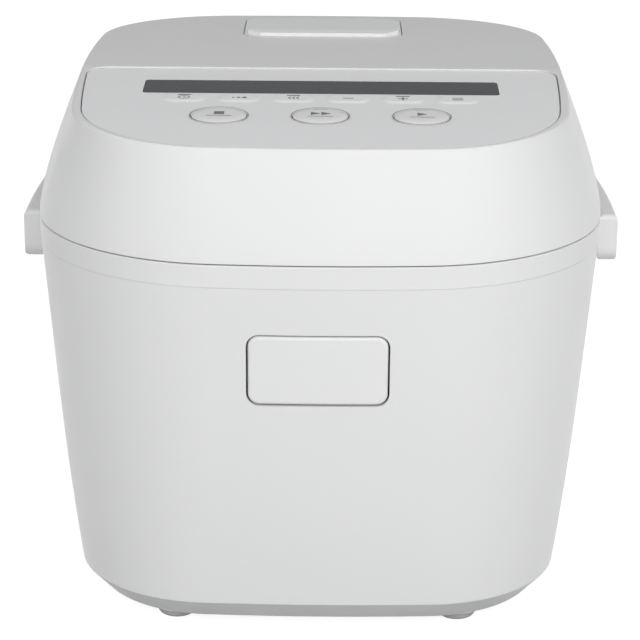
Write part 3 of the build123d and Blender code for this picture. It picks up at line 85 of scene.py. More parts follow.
camera = put_in_scene("product_camera", bpy.data.cameras.new("product_camera"))
camera.data.sensor_width = sensor_width
camera.data.lens = lens_length
towards_camera = Vector((
    math.sin(camera_turn) * math.cos(camera_elevation),
    -math.cos(camera_turn) * math.cos(camera_elevation),
    math.sin(camera_elevation),
))
look = (-towards_camera).to_track_quat("-Z", "Y").to_matrix().to_4x4()
camera.matrix_world = (
    Matrix.Translation(aim_point + camera_distance * towards_camera)
    @ look
    @ Matrix.Rotation(camera_roll, 4, "Z")
)
camera.data.clip_start, camera.data.clip_end = 0.05, 20.0
bpy.context.scene.camera = camera
bpy.context.scene.view_settings.view_transform = "Standard"
print("camera stands at", [round(v, 3) for v in camera.location])

# %% [markdown]
# White plastic is hard to light: too much light burns it out, and one small lamp makes hard
# shadows. Four large soft boxes do it. Two hang in front, a little above the camera, one of
# them to the right, so the lid's front is the brightest face and the right side is lighter
# than the left. Two weaker ones stand low at the sides and show the lean of the walls, which
# still darken gently towards their outline. A weak even sky fills the rest. All stay at a
# plain level, where a colour renders about as it is written.

# %% Soft boxes and sky
box_distance, box_edge = 1.25, 1.2


def soft_box(name, side_angle, height_angle, watts):
    """Square lamp on a sphere round the cooker, facing its middle."""
    lamp = bpy.data.lights.new(name, "AREA")
    lamp.shape = "SQUARE"
    lamp.size = box_edge
    lamp.energy = watts
    lamp_object = put_in_scene(name, lamp)
    turn, rise = math.radians(side_angle), math.radians(height_angle)
    across, forward = math.sin(turn) * math.cos(rise), math.cos(turn) * math.cos(rise)
    way = Vector((across, -forward, math.sin(rise)))
    lamp_object.location = aim_point + box_distance * way
    lamp_object.rotation_euler = (-way).to_track_quat("-Z", "Y").to_euler()


soft_box("front_box", 0, 30, 4.1)
soft_box("right_high_box", 25, 30, 4.6)
soft_box("left_low_box", -50, 8, 3.1)
soft_box("right_low_box", 50, 8, 2.8)

sky_level = 0.425
world = bpy.data.worlds.new("studio")
bpy.context.scene.world = world
world.use_nodes = True
sky = world.node_tree.nodes["Background"]
sky.inputs["Color"].default_value = (1.0, 1.0, 1.0, 1.0)
sky.inputs["Strength"].default_value = sky_level

# %% [markdown]
# The table is one pale plane, large enough to fill the picture. What the camera sees of it is
# mostly plain white, and the rest is its real shading, so the cooker's soft shadow stays on
# it. Gloss and glass see the same white table, while the light that bounces up from it comes
# from an ordinary light grey surface.

# %% Table
def seen_directly(tree):
    """Factor that is 1 for the camera, and for what gloss or glass shows."""
    path = tree.nodes.new("ShaderNodeLightPath")
    factor = path.outputs["Is Camera Ray"]
    for ray in ("Is Glossy Ray", "Is Transmission Ray"):
        either = tree.nodes.new("ShaderNodeMath")
        either.operation = "MAXIMUM"
        tree.links.new(factor, either.inputs[0])
        tree.links.new(path.outputs[ray], either.inputs[1])
        factor = either.outputs[0]
    return factor


table_reach, table_grey, table_glow = 9, 0.45, 0.85
quarters = ((-1, -1), (1, -1), (1, 1), (-1, 1))
table_corners = [(side * table_reach, end * table_reach, 0) for side, end in quarters]
table_mesh = bpy.data.meshes.new("table_top")
table_mesh.from_pydata(table_corners, [], [(0, 1, 2, 3)])
table_top = put_in_scene("table_top", table_mesh)
table_paint = bpy.data.materials.new("table_paint")
table_paint.use_nodes = True
tree = table_paint.node_tree
tree.nodes.clear()
paint = tree.nodes.new("ShaderNodeBsdfDiffuse")
paint.inputs["Color"].default_value = (table_grey, table_grey, table_grey, 1.0)
glow = tree.nodes.new("ShaderNodeEmission")
strength = tree.nodes.new("ShaderNodeMath")
strength.operation = "MULTIPLY"
strength.inputs[1].default_value = table_glow
tree.links.new(seen_directly(tree), strength.inputs[0])
tree.links.new(strength.outputs[0], glow.inputs["Strength"])
both = tree.nodes.new("ShaderNodeAddShader")
tree.links.new(paint.outputs[0], both.inputs[0])
tree.links.new(glow.outputs[0], both.inputs[1])
tree.links.new(both.outputs[0], tree.nodes.new("ShaderNodeOutputMaterial").inputs["Surface"])
table_mesh.materials.append(table_paint)
print("table is", [round(v, 1) for v in table_top.dimensions], "metres")

# %% [markdown]
# Most of the cooker is moulded plastic. Up close such plastic is never one flat colour: the
# colour drifts a little over a hand's width, the gloss is uneven where the mould was
# polished, and the surface has a fine orange peel. Each of these is one noise texture at its
# own scale. A Bevel node rounds the light over the sharp edges, as real mouldings have, and
# only the domed buttons go without it. The uneven gloss stays above a roughness of 0.28: a
# smoother patch counts as a mirror when the render's noise is cleaned away, and then shows
# as a stain.

# %% Moulded plastic
def start_material(name):
    """New material with its shader, ready for nodes."""
    material = bpy.data.materials.new(name)
    material.use_nodes = True
    shader = material.node_tree.nodes["Principled BSDF"]
    return material, material.node_tree, shader


def noise(tree, scale, detail=2.0, stretch=None):
    """Noise on the object's own coordinates, in cycles per metre."""
    place = tree.nodes.new("ShaderNodeTexCoord")
    texture = tree.nodes.new("ShaderNodeTexNoise")
    texture.inputs["Scale"].default_value = scale
    texture.inputs["Detail"].default_value = detail
    source = place.outputs["Object"]
    if stretch:
        mapping = tree.nodes.new("ShaderNodeMapping")
        mapping.inputs["Scale"].default_value = stretch
        tree.links.new(source, mapping.inputs["Vector"])
        source = mapping.outputs["Vector"]
    tree.links.new(source, texture.inputs["Vector"])
    return texture.outputs["Fac"]


def spread(tree, factor, low, high, clip=(0.3, 0.7)):
    """Numbers from low to high, picked by a noise."""
    node = tree.nodes.new("ShaderNodeMapRange")
    node.inputs["From Min"].default_value, node.inputs["From Max"].default_value = clip
    node.inputs["To Min"].default_value, node.inputs["To Max"].default_value = low, high
    tree.links.new(factor, node.inputs["Value"])
    return node.outputs["Result"]


def tint(tree, factor, dark, light, clip=(0.3, 0.7)):
    """Colour between two colours, picked by a noise."""
    ramp = tree.nodes.new("ShaderNodeValToRGB")
    ramp.color_ramp.elements[0].position, ramp.color_ramp.elements[1].position = clip
    ramp.color_ramp.elements[0].color = (*dark, 1.0)
    ramp.color_ramp.elements[1].color = (*light, 1.0)
    tree.links.new(factor, ramp.inputs["Fac"])
    return ramp.outputs["Color"]


def bump(tree, shader, height, depth, soft_edge=0.0):
    """Relief of a depth in metres; soft_edge rounds the light over sharp edges."""
    relief = tree.nodes.new("ShaderNodeBump")
    relief.inputs["Strength"].default_value = 1.0
    relief.inputs["Distance"].default_value = depth
    tree.links.new(height, relief.inputs["Height"])
    if soft_edge:
        rounding = tree.nodes.new("ShaderNodeBevel")
        rounding.samples = 4
        rounding.inputs["Radius"].default_value = soft_edge
        tree.links.new(rounding.outputs["Normal"], relief.inputs["Normal"])
    tree.links.new(relief.outputs["Normal"], shader.inputs["Normal"])


def moulded_plastic(name, colour, drift, gloss, peel_scale, peel_depth, soft_edge):
    """Plastic with a drifting colour, an uneven gloss and a fine relief."""
    material, tree, shader = start_material(name)
    dark = tuple(c - drift for c in colour)
    light = tuple(c + drift for c in colour)
    tree.links.new(tint(tree, noise(tree, 9.0), dark, light), shader.inputs["Base Color"])
    uneven = spread(tree, noise(tree, 55.0, 3.0), gloss[0], gloss[1])
    tree.links.new(uneven, shader.inputs["Roughness"])
    bump(tree, shader, noise(tree, peel_scale, 3.0), peel_depth, soft_edge)
    shader.inputs["Specular IOR Level"].default_value = 0.38
    return material


# In each row: colour, drift, gloss from and to, scale and depth of the relief, soft edge.
plastic_looks = {
    "shell_white": ((0.80, 0.803, 0.808), 0.008, (0.29, 0.37), 1400.0, 0.000006, 0.0004),
    "panel_white": ((0.865, 0.871, 0.879), 0.008, (0.34, 0.42), 2600.0, 0.000008, 0.0003),
    "button_white": ((0.82, 0.823, 0.827), 0.006, (0.29, 0.37), 1400.0, 0.000003, 0.0),
    "handle_white": ((0.87, 0.872, 0.875), 0.007, (0.29, 0.37), 1400.0, 0.000005, 0.0004),
    # The base pan's grey is darker than the shell's white: painted shade for the downward-facing band round the
    # bottom.
    "base_grey": ((0.66, 0.664, 0.67), 0.012, (0.45, 0.6), 2200.0, 0.000030, 0.0004),
    "inner_white": ((0.72, 0.72, 0.71), 0.01, (0.4, 0.52), 2000.0, 0.000020, 0.0004),
    "inlet_black": ((0.022, 0.022, 0.023), 0.004, (0.38, 0.5), 2400.0, 0.000025, 0.0004),
    "component_black": ((0.028, 0.028, 0.03), 0.006, (0.4, 0.55), 2600.0, 0.000020, 0.0004),
}
finishes = {name: moulded_plastic(name, *look) for name, look in plastic_looks.items()}
print("plastics:", list(finishes))

# %% [markdown]
# The display hides behind a dark tinted window. It is nearly black and polished, but a wide
# window always shows a faint haze of the room, so it reads as dark grey. Fine smears in the
# gloss keep it from looking like paint. The small lamps in the keys and in two of the buttons
# use the same idea.

# %% Dark window and lamps
def tinted_window(name, colour, gloss, smear):
    """Dark polished plastic with faint wiping marks."""
    material, tree, shader = start_material(name)
    light = tuple(c * 1.12 for c in colour)
    tree.links.new(tint(tree, noise(tree, 14.0), colour, light), shader.inputs["Base Color"])
    marks = noise(tree, 120.0, 4.0, stretch=(0.25, 1.0, 1.0))
    tree.links.new(spread(tree, marks, gloss, gloss + smear), shader.inputs["Roughness"])
    bump(tree, shader, noise(tree, 600.0), 0.000001)
    shader.inputs["Specular IOR Level"].default_value = 0.25
    return material


window_smoke = tinted_window("window_smoke", (0.017, 0.021, 0.026), 0.16, 0.05)
indicator_dark = tinted_window("indicator_dark", (0.10, 0.095, 0.085), 0.3, 0.08)
print("window gloss is set by", window_smoke.name)

# %% [markdown]
# Metals come next: pressed and turned aluminium, zinc-plated steel, the brass pins of the
# inlet, and the dark non-stick coating of the pot. Turned and brushed metal has fine lines
# along one direction. Rings round the cooker's middle come from a wave texture centred on
# the pot's axis, and brushing comes from a noise that is stretched along one axis.

# %% Metals and coating
pot_centre = (0.0, -0.009, 0.0)


def rings(tree, per_metre, wobble):
    """Rings round the pot's upright axis."""
    place = tree.nodes.new("ShaderNodeTexCoord")
    mapping = tree.nodes.new("ShaderNodeMapping")
    mapping.inputs["Location"].default_value = tuple(-c for c in pot_centre)
    wave = tree.nodes.new("ShaderNodeTexWave")
    wave.wave_type = "RINGS"
    wave.rings_direction = "Z"
    wave.inputs["Scale"].default_value = per_metre
    wave.inputs["Distortion"].default_value = wobble
    wave.inputs["Detail"].default_value = 2.0
    tree.links.new(place.outputs["Object"], mapping.inputs["Vector"])
    tree.links.new(mapping.outputs["Vector"], wave.inputs["Vector"])
    return wave.outputs["Fac"]


def metal(name, colour, gloss, lines, depth, drift=0.03, per_metre=190.0):
    """Metal with a drifting tone and fine lines: rings, or brushing along one axis."""
    material, tree, shader = start_material(name)
    dark = tuple(c - drift for c in colour)
    tree.links.new(tint(tree, noise(tree, 24.0, 4.0), dark, colour), shader.inputs["Base Color"])
    shader.inputs["Metallic"].default_value = 1.0
    marks = rings(tree, per_metre, 1.5) if lines == "rings" else noise(tree, 1500.0, 3.0, stretch=lines)
    tree.links.new(spread(tree, marks, gloss, gloss + 0.12), shader.inputs["Roughness"])
    bump(tree, shader, marks, depth, 0.0002)
    return material


plate_alloy = metal("plate_alloy", (0.66, 0.66, 0.65), 0.32, "rings", 0.000012)
lid_alloy = metal("lid_alloy", (0.84, 0.84, 0.835), 0.40, "rings", 0.0000008, 0.02, 420.0)
zinc_steel = metal("steel", (0.56, 0.565, 0.57), 0.28, (1.0, 0.06, 1.0), 0.000006)
inlet_brass = metal("brass", (0.70, 0.54, 0.26), 0.29, (1.0, 0.08, 1.0), 0.000004)

pot_coating, tree, shader = start_material("pot_coating")
speckle = noise(tree, 1900.0, 1.0)
speck_colour = tint(tree, speckle, (0.045, 0.046, 0.05), (0.22, 0.22, 0.23), (0.62, 0.72))
tree.links.new(speck_colour, shader.inputs["Base Color"])
tree.links.new(spread(tree, noise(tree, 60.0, 3.0), 0.34, 0.46), shader.inputs["Roughness"])
bump(tree, shader, noise(tree, 1100.0, 3.0), 0.00002, 0.0004)
shader.inputs["Coat Weight"].default_value = 0.15
print("metals:", plate_alloy.name, lid_alloy.name, zinc_steel.name, inlet_brass.name, pot_coating.name)

# %% [markdown]
# The lid's seal is soft silicone and the feet are rubber. Both are dull and pick up a fine
# dust that dulls them more in places, and the silicone also lets a little light in at thin
# edges. Circuit board is a green lacquer over a woven base, which a diagonal wave texture
# hints at.

# %% Rubber, silicone and circuit board
def soft_rubber(name, colour, dust, glow_depth):
    """Dull elastic material with a dusty drift."""
    material, tree, shader = start_material(name)
    dusty = tuple(c + dust for c in colour)
    tree.links.new(tint(tree, noise(tree, 130.0, 5.0), colour, dusty), shader.inputs["Base Color"])
    tree.links.new(spread(tree, noise(tree, 300.0, 3.0), 0.55, 0.75), shader.inputs["Roughness"])
    bump(tree, shader, noise(tree, 2400.0, 2.0), 0.000025, 0.0003)
    shader.inputs["Subsurface Weight"].default_value = 0.1 if glow_depth else 0.0
    shader.inputs["Subsurface Scale"].default_value = glow_depth or 0.001
    return material


foot_rubber = soft_rubber("rubber_grey", (0.44, 0.44, 0.44), 0.05, 0.0)
silicone = soft_rubber("silicone", (0.62, 0.62, 0.60), 0.04, 0.002)

board_green, tree, shader = start_material("board_green")
lacquer = tint(tree, noise(tree, 260.0, 3.0), (0.012, 0.10, 0.045), (0.02, 0.15, 0.07))
tree.links.new(lacquer, shader.inputs["Base Color"])
weave = tree.nodes.new("ShaderNodeTexWave")
weave.bands_direction = "DIAGONAL"
weave.inputs["Scale"].default_value = 420.0
place = tree.nodes.new("ShaderNodeTexCoord")
tree.links.new(place.outputs["Object"], weave.inputs["Vector"])
tree.links.new(spread(tree, weave.outputs["Fac"], 0.29, 0.44, (0.0, 1.0)), shader.inputs["Roughness"])
bump(tree, shader, weave.outputs["Fac"], 0.000008)
print("soft finishes:", foot_rubber.name, silicone.name)

# %% [markdown]
# Every CAD piece already names the material slot it is made of, so one table from slot to
# finish dresses them all. Only the finish changes: a CAD piece's mesh is left as it is.

# %% Dress the CAD pieces
finishes.update({
    "window_smoke": window_smoke,
    "indicator_dark": indicator_dark,
    "rubber_grey": foot_rubber,
    "silicone": silicone,
    "pot_coating": pot_coating,
    "plate_alloy": plate_alloy,
    "steel": zinc_steel,
    "lid_alloy": lid_alloy,
    "board_green": board_green,
    "brass": inlet_brass,
})
slot_of = {row["node"]: row["material_slot"] for row in frame["record"]["subparts"]}
for name, piece in nodes.items():
    piece.data.materials.clear()
    piece.data.materials.append(finishes[slot_of[name]])
print("dressed", len(nodes), "pieces with", len(set(slot_of.values())), "finishes")

# %% [markdown]
# Each key and button carries a small printed sign. A print is a film of ink, so it could be
# drawn in the panel's material. It is made of thin raised shapes here instead, because they
# stay sharp at any distance. Every sign is a list of strokes and filled shapes on the panel's
# own plane, whose direction comes from the joint of the cancel button.

# %% The panel's plane and the ink
press_joint = next(row for row in frame["joints"] if row["name"] == "cancel_button_press")
panel_up = -Vector(press_joint["axis"]).normalized()
panel_right = Vector((1.0, 0.0, 0.0))
panel_back = panel_up.cross(panel_right)
ink_thickness = 0.00004
level_slack = 0.00002
weld_distance = 0.000001
mm = 0.001

# This grey is the ink of the printed signs, and also the painted shade in the gaps round the buttons.
print_and_gap_shade_grey, tree, shader = start_material("print_and_gap_shade_grey")
ink = tint(tree, noise(tree, 900.0, 3.0), (0.16, 0.155, 0.15), (0.22, 0.215, 0.21))
tree.links.new(ink, shader.inputs["Base Color"])
tree.links.new(spread(tree, noise(tree, 1500.0), 0.5, 0.62), shader.inputs["Roughness"])
bump(tree, shader, noise(tree, 5000.0), 0.000002)


def flat_centre(node):
    """Middle of a piece's highest flat face over the panel: right, back and up."""
    corners = [v.co for v in nodes[node].data.vertices]
    top = max(c.dot(panel_up) for c in corners)
    flat = [c for c in corners if c.dot(panel_up) > top - level_slack]
    rights = [c.x for c in flat]
    backs = [c.dot(panel_back) for c in flat]
    return (min(rights) + max(rights)) / 2, (min(backs) + max(backs)) / 2, top


print("panel faces", [round(c, 4) for c in panel_up], "start button at", flat_centre("start_button"))

# %% [markdown]
# A stroke is a path with a width. At each point of the path the band goes out sideways by
# half the width, square to the line between the points before and after it. Filled shapes are
# simple polygons. Both are pushed up by the film's thickness, so each print is a closed solid.
# Shapes are drawn in millimetres and turned into metres when they are printed.

# %% Strokes and filled shapes
def stroke(path, width, closed=False):
    """Outline faces, in millimetres, of a band along a path."""
    count = len(path)
    left, right = [], []
    for i, (x, y) in enumerate(path):
        before = path[(i - 1) % count] if closed or i else path[i]
        after = path[(i + 1) % count] if closed or i < count - 1 else path[i]
        along = Vector((after[0] - before[0], after[1] - before[1])).normalized()
        side = Vector((-along.y, along.x)) * width / 2
        left.append((x + side.x, y + side.y))
        right.append((x - side.x, y - side.y))
    last = count if closed else count - 1
    return [
        [left[i], right[i], right[(i + 1) % count], left[(i + 1) % count]] for i in range(last)
    ]


def round_path(radius, steps=32, middle=(0.0, 0.0)):
    """Points on a circle."""
    angles = [math.radians(360.0 * i / steps) for i in range(steps)]
    return [(middle[0] + radius * math.cos(a), middle[1] + radius * math.sin(a)) for a in angles]


def moved(faces, right, back=0.0):
    """The same faces, shifted on the panel."""
    return [[(x + right, y + back) for x, y in face] for face in faces]


def print_on(name, faces, middle, body):
    """Thin solid of ink at a level over the panel, riding on a body; it also draws the painted gap shade round the
    buttons.
    """
    mesh = bpy.data.meshes.new(name)
    form = bmesh.new()
    for face in faces:
        spots = [
            panel_right * (middle[0] + x * mm) + panel_back * (middle[1] + y * mm)
            + panel_up * middle[2]
            for x, y in face
        ]
        form.faces.new([form.verts.new(spot) for spot in spots])
    bmesh.ops.remove_doubles(form, verts=form.verts, dist=weld_distance)
    raised = bmesh.ops.extrude_face_region(form, geom=form.faces[:])
    upper = [v for v in raised["geom"] if isinstance(v, bmesh.types.BMVert)]
    bmesh.ops.translate(form, verts=upper, vec=panel_up * ink_thickness)
    bmesh.ops.recalc_face_normals(form, faces=form.faces)
    form.to_mesh(mesh)
    form.free()
    mesh.materials.append(print_and_gap_shade_grey)
    piece = put_in_scene(name, mesh)
    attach(piece, body)


print("one millimetre circle has", len(round_path(1.0)), "points")

# %% [markdown]
# The three buttons get their signs first: a square for stop, two arrows for quick and one for
# start, each over a short line. They sit a little behind the middle of the button's top.

# %% Button signs
sign_half = 1.9
sign_shift = 0.0012
square = [(side * sign_half, end * sign_half) for side, end in quarters]
arrow = [(-1.6, -2.1), (2.0, 0.0), (-1.6, 2.1)]
underline = stroke([(-4.6, -3.6), (4.6, -3.6)], 0.55)
button_signs = {
    "cancel": [square] + underline,
    "quick_cook": moved([arrow], -sign_half) + moved([arrow], sign_half) + underline,
    "start": [arrow] + underline,
}
for name, faces in button_signs.items():
    right, back, up = flat_centre(f"{name}_button")
    print_on(f"{name}_sign", faces, (right, back + sign_shift, up), f"{name}_button")
print("button signs:", list(button_signs))

# %% [markdown]
# A fine dark line runs round each button's hole. It is painted shade, standing in for the
# shadow in the narrow gap, so the buttons read as round from far away, where the gap itself is
# too narrow to see. Its size follows from the button's wall, measured close to the panel's face,
# and it stays clear of the hole. Its level is that of the panel's highest faces, which are the
# tops of the keys.

# %% Painted gap shade round the buttons
keys_level = flat_centre("control_panel")[2]
line_width, line_space, line_steps = 0.3, 0.65, 72
wall_depth = 0.0005
gap_shade_faces = []
for name in button_signs:
    right, back, _ = flat_centre(f"{name}_button")
    corners = [v.co for v in nodes[f"{name}_button"].data.vertices]
    wall = [abs(co.x - right) for co in corners if co.dot(panel_up) > keys_level - wall_depth]
    wall_radius = max(wall) / mm
    path = round_path(wall_radius + line_space, steps=line_steps)
    ring = stroke(path, line_width, closed=True)
    gap_shade_faces += moved(ring, right / mm, back / mm)
# The rings are grey ink laid on the panel as painted shade for the gaps round the buttons.
print_on("button_gap_shade", gap_shade_faces, (0.0, 0.0, keys_level), "lid")
print("button wall radius:", round(wall_radius, 2), "mm")

# %% [markdown]
# The keys stand in one row with one pitch. Three of them hold a small dark lamp window: the
# first, the third and the fifth. The pitch and the row's place are measured on those. The
# signs are a clock, dots that grow, rising steam, minus, plus and three menu lines.

# %% Key signs
lamp_length, keys_between_lamps = 0.0049, 4
lamp_to_sign = 0.0034
lamps_low, lamps_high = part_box("key_indicators")
key_pitch = (lamps_high.x - lamps_low.x - lamp_length) / keys_between_lamps
first_key = lamps_low.x + lamp_length / 2
_, lamp_row, key_top = flat_centre("key_indicators")
wave_width, wave_turn, wave_rise = 0.45, 60, 0.4
steam_wave = [
    (wave_width * math.sin(math.radians(wave_turn * i)), wave_rise * (i - 4)) for i in range(9)
]
bar = stroke([(-1.9, 0), (1.9, 0)], 0.7)
post = stroke([(0, 0.35), (0, 1.9)], 0.7)
lower_post = stroke([(0, -1.9), (0, -0.35)], 0.7)
clock_hands = stroke([(0, 1.25), (0, 0), (0.95, -0.45)], 0.4)
menu_line = stroke([(-2.0, 0), (2.0, 0)], 0.5)
clock = stroke(round_path(2.0), 0.42, closed=True) + clock_hands
dots = [round_path(0.45 + 0.25 * i, steps=16, middle=(2.1 * (i - 1), 0)) for i in range(3)]
steam = [face for i in (-1, 0, 1) for face in moved(stroke(steam_wave, 0.42), 1.5 * i)]
menu = [face for i in (-1, 0, 1) for face in moved(menu_line, 0, 1.3 * i)]
key_signs = [clock, dots, steam, bar, bar + post + lower_post, menu]
sign_row = lamp_row - lamp_to_sign
key_faces = [
    face for i, sign in enumerate(key_signs) for face in moved(sign, i * key_pitch / mm)
]
print_on("key_signs", key_faces, (first_key, sign_row, key_top), "lid")
print("key pitch:", round(key_pitch / mm, 2), "mm")

# %% [markdown]
# Inside the pot, a ladder of marks shows how high the water goes for one, two and three cups.
# The marks repeat with one spacing and follow the round wall, so a small Geometry Nodes tree
# makes them: an arc round the pot's axis is swept with a thin rectangle and copied up a line.
# The rectangle's long side points at the axis, so each mark is a fine rib with its back in
# the wall. The tree's inputs are its sizes, so the long and the short marks share one tree.

# %% A node tree for marks round a wall
def add_input(group, label, kind, value):
    """Named input of a node tree, with its default."""
    socket = group.interface.new_socket(name=label, in_out="INPUT", socket_type=kind)
    socket.default_value = value
    return socket.identifier


def finish_nodes(group, geometry, material):
    """End a tree in real geometry with its material."""
    real = group.nodes.new("GeometryNodeRealizeInstances")
    dress = group.nodes.new("GeometryNodeSetMaterial")
    dress.inputs["Material"].default_value = material
    out = group.nodes.new("NodeGroupOutput")
    group.interface.new_socket(name="Geometry", in_out="OUTPUT", socket_type="NodeSocketGeometry")
    group.links.new(geometry, real.inputs["Geometry"])
    group.links.new(real.outputs["Geometry"], dress.inputs["Geometry"])
    group.links.new(dress.outputs["Geometry"], out.inputs["Geometry"])


def grow(name, group, values, place, material, body):
    """Run a tree with its inputs set, and keep the result as a plain mesh on a body."""
    seed = put_in_scene(name + "_seed", bpy.data.meshes.new(name + "_seed"))
    modifier = seed.modifiers.new("grow", "NODES")
    modifier.node_group = group
    for identifier, value in values.items():
        modifier[identifier] = value
    graph = bpy.context.evaluated_depsgraph_get()
    mesh = bpy.data.meshes.new_from_object(seed.evaluated_get(graph), depsgraph=graph)
    mesh.name = name
    bpy.data.objects.remove(seed)
    mesh.transform(Matrix.Translation(place))
    mesh.materials.clear()
    mesh.materials.append(material)
    piece = put_in_scene(name, mesh)
    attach(piece, body)
    print(name, "has", len(mesh.polygons), "faces")
    return piece


mark_print, tree, shader = start_material("mark_print")
pale = tint(tree, noise(tree, 700.0, 3.0), (0.60, 0.60, 0.58), (0.72, 0.72, 0.70))
tree.links.new(pale, shader.inputs["Base Color"])
tree.links.new(spread(tree, noise(tree, 1200.0), 0.42, 0.55), shader.inputs["Roughness"])
bump(tree, shader, noise(tree, 3000.0), 0.000003)

wall_marks = bpy.data.node_groups.new("wall_marks", "GeometryNodeTree")
group_in = wall_marks.nodes.new("NodeGroupInput")
mark_count = add_input(wall_marks, "Count", "NodeSocketInt", 3)
mark_spacing = add_input(wall_marks, "Spacing", "NodeSocketFloat", 0.012)
mark_radius = add_input(wall_marks, "Middle Radius", "NodeSocketFloat", 0.072)
mark_start = add_input(wall_marks, "Start Angle", "NodeSocketFloat", 1.4)
mark_sweep = add_input(wall_marks, "Sweep Angle", "NodeSocketFloat", 0.1)
mark_depth = add_input(wall_marks, "Rib Depth", "NodeSocketFloat", 0.0008)
arc = wall_marks.nodes.new("GeometryNodeCurveArc")
arc.inputs["Resolution"].default_value = 12
mark_height = 0.0002
profile = wall_marks.nodes.new("GeometryNodeCurvePrimitiveQuadrilateral")
profile.inputs["Height"].default_value = mark_height
sweep = wall_marks.nodes.new("GeometryNodeCurveToMesh")
sweep.inputs["Fill Caps"].default_value = True
rise = wall_marks.nodes.new("ShaderNodeCombineXYZ")
ladder = wall_marks.nodes.new("GeometryNodeMeshLine")
copies = wall_marks.nodes.new("GeometryNodeInstanceOnPoints")
link = wall_marks.links.new
link(group_in.outputs["Middle Radius"], arc.inputs["Radius"])
link(group_in.outputs["Start Angle"], arc.inputs["Start Angle"])
link(group_in.outputs["Sweep Angle"], arc.inputs["Sweep Angle"])
link(group_in.outputs["Rib Depth"], profile.inputs["Width"])
link(arc.outputs["Curve"], sweep.inputs["Curve"])
link(profile.outputs["Curve"], sweep.inputs["Profile Curve"])
link(group_in.outputs["Count"], ladder.inputs["Count"])
link(group_in.outputs["Spacing"], rise.inputs["Z"])
link(rise.outputs["Vector"], ladder.inputs["Offset"])
link(ladder.outputs["Mesh"], copies.inputs["Points"])
link(sweep.outputs["Mesh"], copies.inputs["Instance"])
finish_nodes(wall_marks, copies.outputs["Instances"], mark_print)
print("tree", wall_marks.name, "has", len(wall_marks.nodes), "nodes")

# %% [markdown]
# The long marks stand one cup apart. The short ones halfway between them are shorter and
# stand out less. Both start at the same angle, a little right of the middle of the pot's rear
# wall, and run to the left. Angles are counted from the cooker's right. The middle of the
# marks and of the numbers lies on one radius, a tenth of a millimetre inside the pot's wall.

# %% Cup marks
mark_middle_radius = 0.0719
cups, cup_step, first_cup = 3, 0.013, 0.088
ladder_angle = math.radians(84)
long_angle, short_angle = math.radians(9), math.radians(5)
long_marks = {
    mark_count: cups, mark_spacing: cup_step, mark_radius: mark_middle_radius,
    mark_start: ladder_angle, mark_sweep: long_angle, mark_depth: 0.0009,
}
short_marks = {**long_marks, mark_count: cups - 1, mark_sweep: short_angle, mark_depth: 0.0006}
pot_axis = Vector(pot_centre)
ladders = {
    "cup_marks": (long_marks, first_cup),
    "half_cup_marks": (short_marks, first_cup + cup_step / 2),
}
for name, (values, height) in ladders.items():
    place = pot_axis + Vector((0, 0, height))
    grow(name, wall_marks, values, place, mark_print, "housing")

# %% [markdown]
# Plain numbers stand to the right of the long marks. Each is a text object, made a mesh first
# and then bent round the wall: its width becomes an angle, and its height stays.

# %% Cup numbers
number_size, number_depth = 0.0055, 0.0001
number_angle = ladder_angle - math.radians(3.5)
number_weld = 0.000002
numbers = bmesh.new()
for cup in range(1, cups + 1):
    text = bpy.data.curves.new(f"number_{cup}", "FONT")
    text.body = str(cup)
    text.size = number_size
    text.extrude = number_depth
    text.align_x, text.align_y = "CENTER", "CENTER"
    holder = put_in_scene(text.name, text)
    graph = bpy.context.evaluated_depsgraph_get()
    flat = bpy.data.meshes.new_from_object(holder.evaluated_get(graph), depsgraph=graph)
    bpy.data.objects.remove(holder)
    for vertex in flat.vertices:
        angle = number_angle - vertex.co.x / mark_middle_radius
        radius = mark_middle_radius - vertex.co.z
        height = first_cup + (cup - 1) * cup_step + vertex.co.y
        on_wall = Vector((radius * math.cos(angle), radius * math.sin(angle), height))
        vertex.co = pot_axis + on_wall
    numbers.from_mesh(flat)
bmesh.ops.remove_doubles(numbers, verts=numbers.verts, dist=number_weld)
bmesh.ops.recalc_face_normals(numbers, faces=numbers.faces)
number_mesh = bpy.data.meshes.new("cup_numbers")
numbers.to_mesh(number_mesh)
numbers.free()
number_mesh.materials.append(mark_print)
cup_numbers = put_in_scene("cup_numbers", number_mesh)
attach(cup_numbers, "housing")
print("cup numbers:", len(number_mesh.polygons), "faces")

# %% [markdown]
# The inner lid is pressed from thin sheet, and a real one gets rings pressed into it that keep
# it from warping in the steam. The rings repeat with one step, so a second tree makes them:
# unit circles are scaled by their index and then swept with a round profile.

# %% A node tree for pressed rings
press_rings = bpy.data.node_groups.new("press_rings", "GeometryNodeTree")
group_in = press_rings.nodes.new("NodeGroupInput")
ring_count = add_input(press_rings, "Count", "NodeSocketInt", 3)
ring_first = add_input(press_rings, "First Radius", "NodeSocketFloat", 0.05)
ring_step = add_input(press_rings, "Step", "NodeSocketFloat", 0.005)
ring_bead = add_input(press_rings, "Bead Radius", "NodeSocketFloat", 0.001)
points = press_rings.nodes.new("GeometryNodeMeshLine")
points.inputs["Offset"].default_value = (0.0, 0.0, 0.0)
index = press_rings.nodes.new("GeometryNodeInputIndex")
ring_radius = press_rings.nodes.new("ShaderNodeMath")
ring_radius.operation = "MULTIPLY_ADD"
circle = press_rings.nodes.new("GeometryNodeCurvePrimitiveCircle")
circle.inputs["Resolution"].default_value = 160
circle.inputs["Radius"].default_value = 1.0
copies = press_rings.nodes.new("GeometryNodeInstanceOnPoints")
real_rings = press_rings.nodes.new("GeometryNodeRealizeInstances")
bead = press_rings.nodes.new("GeometryNodeCurvePrimitiveCircle")
bead.inputs["Resolution"].default_value = 12
sweep = press_rings.nodes.new("GeometryNodeCurveToMesh")
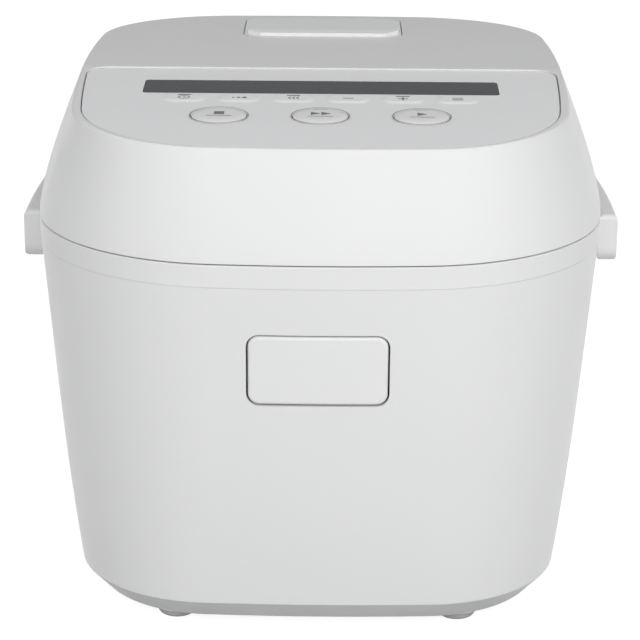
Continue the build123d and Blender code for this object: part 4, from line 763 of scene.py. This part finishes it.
link = press_rings.links.new
link(group_in.outputs["Count"], points.inputs["Count"])
link(index.outputs["Index"], ring_radius.inputs[0])
link(group_in.outputs["Step"], ring_radius.inputs[1])
link(group_in.outputs["First Radius"], ring_radius.inputs[2])
link(points.outputs["Mesh"], copies.inputs["Points"])
link(circle.outputs["Curve"], copies.inputs["Instance"])
link(ring_radius.outputs["Value"], copies.inputs["Scale"])
link(copies.outputs["Instances"], real_rings.inputs["Geometry"])
link(real_rings.outputs["Geometry"], sweep.inputs["Curve"])
link(group_in.outputs["Bead Radius"], bead.inputs["Radius"])
link(bead.outputs["Curve"], sweep.inputs["Profile Curve"])
finish_nodes(press_rings, sweep.outputs["Mesh"], lid_alloy)
print("tree", press_rings.name, "has", len(press_rings.nodes), "nodes")

# %% [markdown]
# Three rings lie just inside the seal. They are sunk into the sheet from below until only a
# low bead stands proud of it, and they are shaded smooth, as pressed metal is.

# %% Pressed rings of the inner lid
bead_radius, bead_proud = 0.0007, 0.0004
sheet_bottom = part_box("inner_lid")[0].z
ring_place = pot_axis + Vector((0, 0, sheet_bottom + bead_radius - bead_proud))
ring_values = {ring_count: 3, ring_first: 0.056, ring_step: 0.006, ring_bead: bead_radius}
lid_rings = grow("inner_lid_rings", press_rings, ring_values, ring_place, lid_alloy, "lid")
lid_rings.data.shade_smooth()

# %% [markdown]
# Two sets of coil springs lie between a fixed piece and a moving one. A copy of each set,
# welded at its seams and riding on the housing, stands for it, and the CAD spring is hidden.


def shortening_spring(node):
    """Copy of a spring node, welded at its seams, riding on the housing in place of the hidden node."""
    coils = put_in_scene(f"{node}_coils", nodes[node].data.copy())
    wire = bmesh.new()
    wire.from_mesh(coils.data)
    bmesh.ops.remove_doubles(wire, verts=wire.verts, dist=weld_distance)
    wire.to_mesh(coils.data)
    wire.free()
    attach(coils, "housing")
    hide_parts(node)
    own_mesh(coils)


shortening_spring("release_springs")
shortening_spring("sensor_spring")
